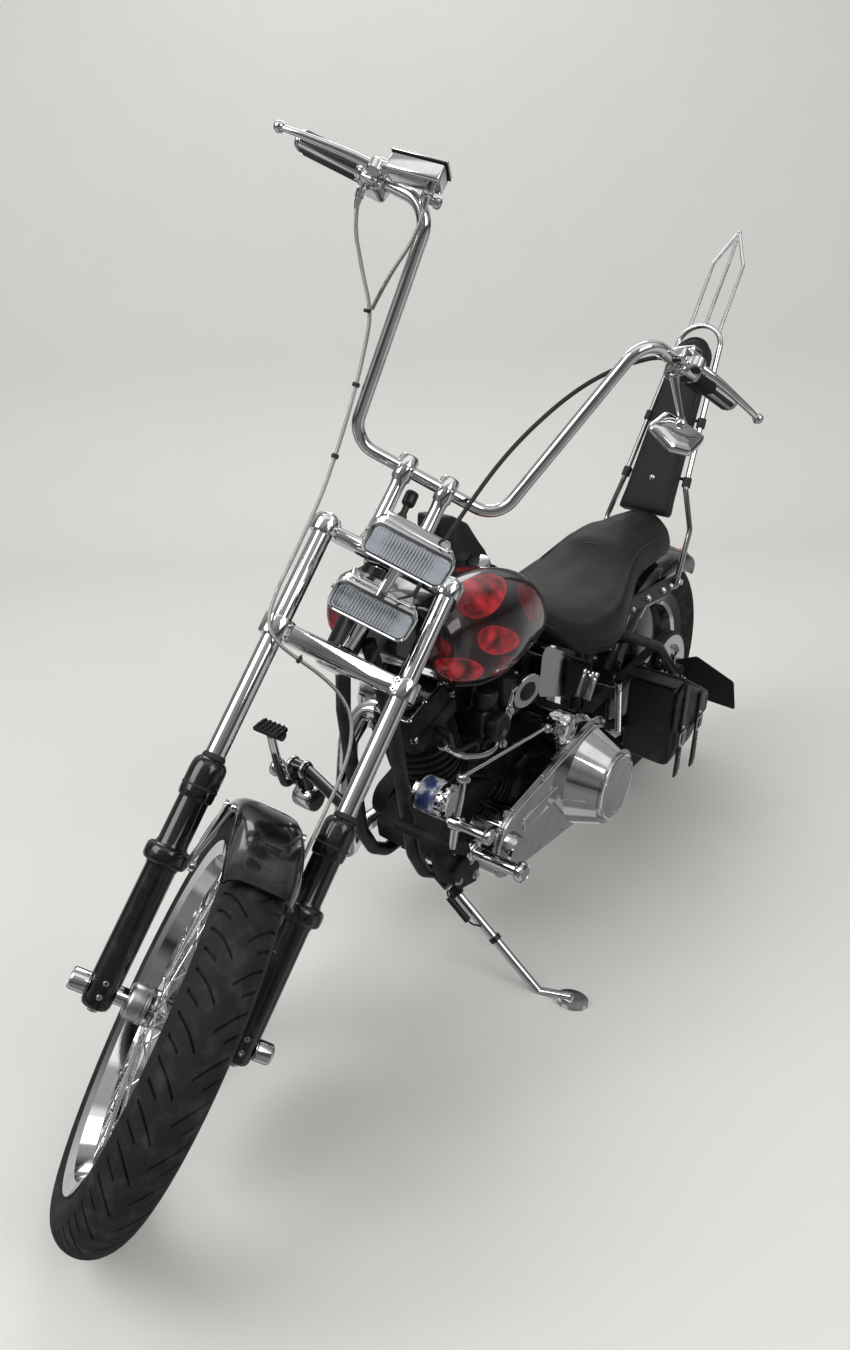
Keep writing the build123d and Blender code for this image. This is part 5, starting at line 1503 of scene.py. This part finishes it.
class CHOPPER_OT_engine(bpy.types.Operator):
    """Adds rocker bolts, pushrod tubes, the carburettor and cover screws to the engine"""
    bl_idname = "chopper.engine"
    bl_label = "Engine"
    bl_options = {"REGISTER", "UNDO"}

    def execute(self, context):
        dress("cast", "crankcase", "front_cylinder", "rear_cylinder")
        dress("chrome", "primary_cover", "derby_cover", "oil_tank", "air_cleaner")
        dress("chrome", "exhaust_pipes", "starter_motor", "oil_filter")
        bright, dark = Shape(MACHINE), Shape(MACHINE)
        crank = moved(*CRANK)
        horn = facing((801, 110, 598), (0.2, 0.95, -0.15))
        for hand in HANDS:
            pot = crank @ turned(hand * CYLINDER_LEAN, "Y")
            for x in (-52, 0, 52):
                for y in (-40, 40):
                    bright.cap_screw(pot @ moved(x, y, 354.5), 5, 6)
            for x in (-68, 68):
                for y in (-50, 50):
                    bright.hex_bolt(pot @ moved(x * 0.96, y, 319), 12, 7)
            bright.box((118, 80, 3), pot @ moved(0, 0, 356), 1.4)
            for shift in (-17, 17):
                start = crank @ Vector((hand * 30 + shift * 0.5, -92, 66))
                end = pot @ Vector((hand * -4 + shift, -52, 284))
                way = (end - start).normalized()
                bright.pipe([start, end], 8.5, 20, 0)
                for t in (0.02, 0.32, 0.62, 0.97):
                    spot = start.lerp(end, t)
                    bright.lathe(collar(8.4, 11.5, 12.5, 7, 5), facing(spot, way), 24)
            plug = facing(pot @ PLUG, (hand * 0.4, 0.9, 0.2))
            dark.lathe([(CORE, 0), (7, 0), (7, 16), (9, 18), (9, 26), (6, 34), (5, 44), (CORE, 45)], plug, 18)
        bright.done("rocker_and_pushrods", "chassis", "chrome")
        leads = Shape(MACHINE)
        for hand in HANDS:
            pot = crank @ turned(hand * CYLINDER_LEAN, "Y")
            plug = pot @ PLUG
            start = [plug + Vector((hand * 14, 38, 8)), plug + Vector((hand * 10, 52, -26))]
            leads.pipe(start + [(CRANK[0] + hand * 26, 92, 520), (CRANK[0] + hand * 12, 76, 470)], 4, 12)
        leads.done("plug_leads", "chassis", "rubber")
        carb = Shape(MACHINE)
        carb.box((62, 46, 58), moved(907, 84, 562), 8)
        carb.lathe(
            [(CORE, 0), (24, 0), (26, 3), (26, 34), (22, 40), (12, 43), (CORE, 44)],
            facing((907, 84, 590), (0, 0.15, 1)), 36,
        )
        carb.lathe(
            [(20, 0), (28, 2), (30, 10), (30, 26), (28, 30), (22, 30), (18, 24), (CORE, 22)], sideways(907, 104, 556),
            40,
        )
        carb.done("carburettor", "chassis", "dark_steel")
        tubes = Shape(MACHINE)
        tubes.pipe(BREATHER, 7.5)
        for x, y, z in (BREATHER[0], BREATHER[-1]):
            tubes.lathe(collar(7.4, 10, 11, 6, 4), facing((x, y, z), (0.5, 0, 0.8)), 24)
        slotted = [(880, 590), (900, 508), (886, 500), (858, 560), (856, 586)]
        tubes.prism(round_off(slotted, 5, 3), 4, moved(0, 122, 0) @ turned(90, "X"), 1)
        tubes.lathe([(35.6, 13), (38.6, 13), (39.4, 15), (38.6, 17), (35.6, 17)], horn, 44)
        tubes.hex_bolt(sideways(870, 124, 578), 13, 7)
        tubes.hex_bolt(sideways(890, 124, 512), 13, 7)
        tubes.done("breather_tube", "chassis", "chrome", ("breather_pipe",))
        dark.lathe(solid((20, 0), (34, 4), (38, 9), (38, 14), (35, 16.6), (24, 15), (20, 20), (12, 22)), horn, 44)
        dark.pipe([(820, 40, 610), (806, 76, 602), (801, 110, 598)], 8)
        dark.prism([(879, 649), (874, 577), (805, 548), (798, 614)], 34, moved(0, 96, 0) @ turned(90, "X"), 4, 3)
        dark.done("horn_and_plugs", "chassis", "plastic")
        screws = Shape(MACHINE)
        for x, z in around(CLUTCH, 121, range(100, 300, 28)) + around(SPROCKET, 76, range(-80, 81, 40)):
            screws.cap_screw(sideways(x, 175, z), 5, 4)
        for x in (700, 800):
            # The cover's straight edges between its two round ends.
            upper, lower = (576.1 - 0.2053 * x) / 0.9786 - 12, 212 + (x - CLUTCH[0]) * 0.09
            for spot, level in ((x, upper), (x - 10, lower)):
                screws.cap_screw(sideways(spot, 175, level), 5, 4)
        for x, z in around(DERBY, 68, range(30, 390, 120)):
            screws.cap_screw(sideways(x, 252, z), 4, 2.4)
        screws.lathe([(70, 0), (74, 1.6), (78, 0)], sideways(DERBY[0], 252, DERBY[1]), 64)
        screws.done("primary_screws", "chassis", "chrome")
        ridge = Shape(MACHINE)
        outline = around(CLUTCH, 112, range(96, 268, 9)) + around(SPROCKET, 67, range(-84, 92, 11))
        ridge.prism(outline, 6, moved(0, 178, 0) @ turned(90, "X"), 2.6, 3)
        ridge.box((140, 7, 30), moved(812, 182, 340) @ turned(5, "Y"), 3.2)
        ridge.lathe(solid((20, 14), (28, 11), (31, 5), (31, 0)), sideways(918, 181, 300), 48)
        ridge.hex_bolt(sideways(918, 194, 300), 24, 4, washer=False)
        ridge.done("primary_ridge", "chassis", "chrome")
        starter = Shape(MACHINE)
        layers = ((34, -34), (35, -30), (35, 2), (32, 8), (26, 13), (10, 15))
        starter.rings(fluted(sideways(700, 168, 478), layers, 64, 8, 0.045, -32, 99))
        starter.done("starter_cap", "chassis", "chrome")
        band = Shape(MACHINE)
        band.lathe([(36.2, 0), (36.9, 1), (36.9, 44), (36.2, 45)], sideways(1071, 66, 462), 56)
        band.done("filter_band_piece", "chassis", "filter")
        cap = Shape(MACHINE)
        layers = ((36.4, 0), (36.4, 4), (32, 11), (24, 14), (10, 15))
        cap.rings(fluted(sideways(1071, 118, 462), layers, 56, 14, 0.03, 2, 13))
        cap.done("filter_end", "chassis", "chrome")
        cleaner = Shape(MACHINE)
        cleaner.lathe(
            [(CORE, 66), (60, 64), (82, 58), (90, 48), (90, 10), (84, 2), (30, 0), (CORE, 0)],
            sideways(907, -111, 560, -1), 72,
        )
        for x, z in around((907, 560), 40, range(90, 450, 120)):
            cleaner.cap_screw(sideways(x, -176, z, -1), 5, 4)
        cleaner.done("air_cleaner_cover", "chassis", "chrome", ("air_cleaner",))
        shields = Shape(MACHINE)
        for x0, x1, level in ((130, 560, 215), (60, 450, 308)):
            axis = facing((x1, -190, level), (-1, 0, 0))
            length = x1 - x0
            shields.lathe(
                [
                    (21, -14), (24, -12), (36.4, 8), (36.8, 12), (36.8, length - 30), (37.4, length - 28),
                    (37.4, length - 8), (36, length - 2), (31, length), (30, length - 40), (CORE, length - 60),
                ],
                axis, 56,
            )
            shields.box((60, 12, 34), moved(x1 - 120, -152, level + 10), 3)
        shields.done("silencer_shells", "chassis", "chrome")
        return {"FINISHED"}


def at_peg(side, hand=1):
    """The frame of a foot peg at this distance from the machine's middle plane."""
    return sideways(1090, side, 391, hand)


def at_toe_peg(side, hand=1):
    """The frame of the shifter's toe peg at this distance from the machine's middle plane."""
    return sideways(1152, side, 486, hand)


class CHOPPER_OT_chassis(bpy.types.Operator):
    """Finishes the frame, mudguard, back rest bar, controls, springs, belt and stand"""
    bl_idname = "chopper.chassis"
    bl_label = "Chassis"
    bl_options = {"REGISTER", "UNDO"}

    def execute(self, context):
        dress("frame", "frame_backbone", "left_cradle", "right_cradle", "swingarm", "fender_struts")
        dress("chrome", "rear_axle", "sissy_bar", "side_stand")
        dress("black", "rear_caliper", "right_controls")
        plate = Shape(MACHINE)
        standing = Matrix(((0, 0, 1, -68), (1, 0, 0, 0), (0, 1, 0, 0), (0, 0, 0, 1)))
        plate.prism(
            round_off([(100, 345), (160, 372), (271, 328), (286, 251), (209, 254), (150, 262)], 6), 4, standing, 1,
        )
        plate.pipe([(-62, 118, 330), (-52, 112, 322), (-20, 118, 322), (0, 136, 322)], 7, smooth=4)
        plate.done("plate_bracket", "chassis", "plastic", ("plate_holder",))
        dress("rubber", "drive_belt")
        outer = mirrored([(290, 89.6), (302, 90), (316, 88), (326, 83), (334, 74), (338.6, 62), (340, 40), (340.4, 14)])
        inner = [(radius - 3, side * 0.968) for radius, side in reversed(outer)]
        mudguard = Shape(REAR)
        mudguard.rings(swept(outer + inner, 22, 96, 64))
        mudguard.done("rear_mudguard", "chassis", "black", ("rear_fender",), smooth=48)
        bright, dark = Shape(MACHINE), Shape(MACHINE)
        for hand in HANDS:
            for x, z in ((60, 600), (110, 604), (200, 610), (330, 622)):
                bright.lathe([(CORE, 7), (6, 6.4), (9, 3), (9.6, 0), (CORE, 0)], sideways(x, hand * 109, z, hand), 24)
            bright.hex_bolt(sideways(0, hand * 152, 320, hand), 24, 10)
            bright.pipe([(52, hand * 117, 600), (40, hand * 112, 600), (34, hand * 108, 602)], 8, smooth=2)
            bright.hex_bolt(sideways(46, hand * 124, 612, hand), 13, 7)
        for x, y, z in ((-18.6, 83, 850), (-92.5, 71, 985)):
            for hand in HANDS:
                way = Vector((-178, -hand * 29, 325)).normalized()
                dark.lathe(collar(7.1, 10.5, 11, 12, 10), facing((x, hand * y, z), way), 20)
        bright.done("chassis_bolts", "chassis", "chrome")
        dark.done("back_rest_clips", "chassis", "rubber")
        springs = Shape(MACHINE)
        for top, bottom in (((382, 140, 444), (356, 140, 316)), ((502, 128, 510), (526, 128, 466))):
            way = Vector(bottom) - Vector(top)
            at = facing(top, way)
            length = way.length
            springs.pipe(coil(at, 7.4, 3, length - 6, int(length / 5.2)), 1.9, 8, 0)
            springs.lathe(
                solid((8, -2), (9, 0), (9, 3), (3.5, 4), (3.5, length - 4), (9, length - 3), (9, length)), at, 24,
            )
            springs.lathe(solid((8, -16), (10, -13), (10, -7), (7, -5), (7, -2)), at, 20)
        springs.pipe([(382, 140, 446), (390, 96, 446), (396, 74, 446)], 6, smooth=2)
        springs.pipe([(502, 128, 514), (508, 124, 518), (512, 119, 520)], 5, smooth=2)
        springs.pipe([(356, 140, 314), (353, 122, 309), (350, 108, 305)], 5, smooth=2)
        springs.done("coil_springs", "chassis", "chrome", ("springs",))
        pegs, pads = Shape(MACHINE), Shape(MACHINE)
        for hand in HANDS:
            start, end = (196, 306) if hand > 0 else (252, 312)
            at = at_peg(hand * start, hand)
            length = end - start
            pegs.lathe([(12.1, -10), (18, -10), (19.4, -7), (19.4, 0), (17, 3), (13, 4), (12.1, 4)], at, 36)
            for level in (8, 13, length - 24):
                pegs.lathe([(12.1, level), (13, level + 0.8), (13, level + 2.2), (12.1, level + 3)], at, 32)
            pegs.lathe(
                [
                    (12.1, length - 15), (18, length - 15), (20, length - 12), (20.6, length - 6), (19.4, length - 1),
                    (14, length + 2), (13, length + 0.6), (CORE, length + 1.6),
                ],
                at, 40,
            )
        pegs.lathe([(9.9, -1), (14, -1), (15.4, 1), (15.4, 8), (13, 11), (8, 11), (CORE, 9)], at_toe_peg(256), 32)
        pegs.hex_bolt(at_toe_peg(182, -1), 15, 6)
        pegs.lathe(solid((12.2, 0), (12.2, 122)), at_peg(186), 36)
        pegs.lathe(solid((9.8, 0), (9.8, 60)), at_toe_peg(198), 32)
        pegs.pipe([(1150, 184, 430), (1152, 190, 486)], 8, smooth=2)
        pegs.lathe(solid((12, -9), (14, -7), (14, 12), (12, 14)), at_toe_peg(190), 32)
        pegs.pipe([(1152, 190, 486), (1140, 191, 528), (1128, 188, 567)], 6, smooth=2)
        pegs.pipe([(1128, 182, 567), (760, 150, 500)], 4, smooth=0)
        for point in ((1128, 186, 567), (760, 152, 500)):
            pegs.lathe(collar(CORE, 8, 10, 8, 5), facing(point, (0, 1, 0)), 20)
            pegs.hex_bolt(sideways(point[0], point[1] + 8, point[2]), 9, 5)
        for level in (-214, -248):
            pegs.lathe(collar(12, 18.6, 20, 4, 2), sideways(1103, level, 424), 32)
        pegs.lathe(
            [(CORE, 0), (22, 0), (26, 4), (27, 12), (27, 44), (24, 50), (CORE, 52)], sideways(1088, -196, 350, -1), 36,
        )
        pegs.pipe([(1150, -246, 452), (1163, -243, 496), (1172, -240, 526)], 9.4, smooth=4, radii=[9.2, 9.6, 8.8])
        pads.box((34, 66, 10), moved(1173, -240, 541) @ turned(12, "Y"), 3)
        for number in range(5):
            pads.box((30, 4, 3), moved(1172, -264 + number * 12, 547) @ turned(12, "Y"), 1)
        pads.lathe(solid((12, 62), (12, 180), (9, 184)), sideways(1151, 0, 430), 32)
        pads.pipe([(1150, 178, 430), (1090, 182, 391)], 13, smooth=0)
        block = [(1128, 420), (1084, 386), (1040, 342), (1014, 308), (1024, 270), (1074, 282), (1118, 316), (1142, 372)]
        pads.prism(block, 38, moved(0, 148, 0) @ turned(90, "X"), 7, 4)
        pads.box((60, 24, 34), moved(1096, 168, 352) @ turned(34, "Y"), 5)
        for x, z in ((1110, 394), (1060, 342), (1036, 296), (1096, 316)):
            pegs.hex_bolt(sideways(x, 167, z), 13, 6)
        pads.done("control_blocks", "chassis", "cast", ("left_controls",))
        pegs.done("control_fittings", "chassis", "chrome")
        teeth = Shape(MACHINE)
        for along in range(44):
            t = along / 43
            upper = Vector((0, 92, 446.6)).lerp(Vector((560, 92, 381)), t)
            lower = Vector((0, 92, 193.6)).lerp(Vector((560, 92, 239.4)), t)
            for spot, tilt in ((upper, 6.7), (lower, -4.7)):
                teeth.box((6, 23.4, 1.6), moved(*spot) @ turned(tilt, "Y"), 0.5, 1)
        teeth.done("belt_ribs", "chassis", "rubber")
        stand = Shape(MACHINE)
        pivot = STAND_PIVOT
        way = (STAND_BEND - pivot).normalized()
        stand.lathe(collar(CORE, 11.6, 12.6, 9, 6), facing(pivot + way * 4, STAND_AXIS), 28)
        stand.hex_bolt(facing(pivot + STAND_AXIS * 9 + way * 4, STAND_AXIS), 15, 7)
        stand.lathe([(10.05, 0), (12.6, 1), (12.6, 11), (10.05, 12)], facing(pivot + way * 122, way), 28)
        start = pivot + way * 6 + Vector((29, 0, 5))
        end = start + way * 62
        stand.pipe(coil(facing(start, end - start), 6.4, 0, (end - start).length, 18), 1.6, 8, 0)
        stand.pipe([start, start - way * 9 + Vector((-6, 0, 2)), pivot + way * 2 + Vector((6, 0, 3))], 2, smooth=3)
        stand.pipe([end, end + way * 12 + Vector((-4, 0, 0)), pivot + way * 96 + Vector((3, 0, 1))], 2, smooth=3)
        stand.done("stand_spring", "stand", "dark_steel")
        return {"FINISHED"}


STEPS = (
    CHOPPER_OT_stage, CHOPPER_OT_hoses, CHOPPER_OT_wheels, CHOPPER_OT_fork, CHOPPER_OT_lamps, CHOPPER_OT_bars,
    CHOPPER_OT_tank, CHOPPER_OT_seat, CHOPPER_OT_bag, CHOPPER_OT_engine, CHOPPER_OT_chassis,
)
GROUPS = {
    "chopper_paint": ChopperPaint, "chopper_metal": ChopperMetal, "chopper_rubber": ChopperRubber,
    "chopper_leather": ChopperLeather, "chopper_stage": ChopperStage,
}


class CHOPPER_PT_panel(bpy.types.Panel):
    """Lists the steps and their settings"""
    bl_idname = "CHOPPER_PT_panel"
    bl_label = "Chopper motorcycle"
    bl_space_type = "VIEW_3D"
    bl_region_type = "UI"
    bl_category = "Chopper"

    def draw(self, context):
        for name in GROUPS:
            group = getattr(context.scene, name)
            box = self.layout.box()
            for key in type(group).__annotations__:
                box.prop(group, key)
        for step in STEPS:
            self.layout.operator(step.bl_idname)


def register():
    """Adds the settings, steps and panel."""
    for name, group in GROUPS.items():
        bpy.utils.register_class(group)
        setattr(bpy.types.Scene, name, bpy.props.PointerProperty(type=group))
    for step in (*STEPS, CHOPPER_PT_panel):
        bpy.utils.register_class(step)


def unregister():
    """Takes the settings, steps and panel away."""
    for step in (CHOPPER_PT_panel, *reversed(STEPS)):
        bpy.utils.unregister_class(step)
    for name, group in GROUPS.items():
        delattr(bpy.types.Scene, name)
        bpy.utils.unregister_class(group)


def main():
    """Dresses the whole machine."""
    register()
    for step in STEPS:
        prefix, name = step.bl_idname.split(".")
        getattr(getattr(bpy.ops, prefix), name)()


if __name__ == "__main__":
    main()
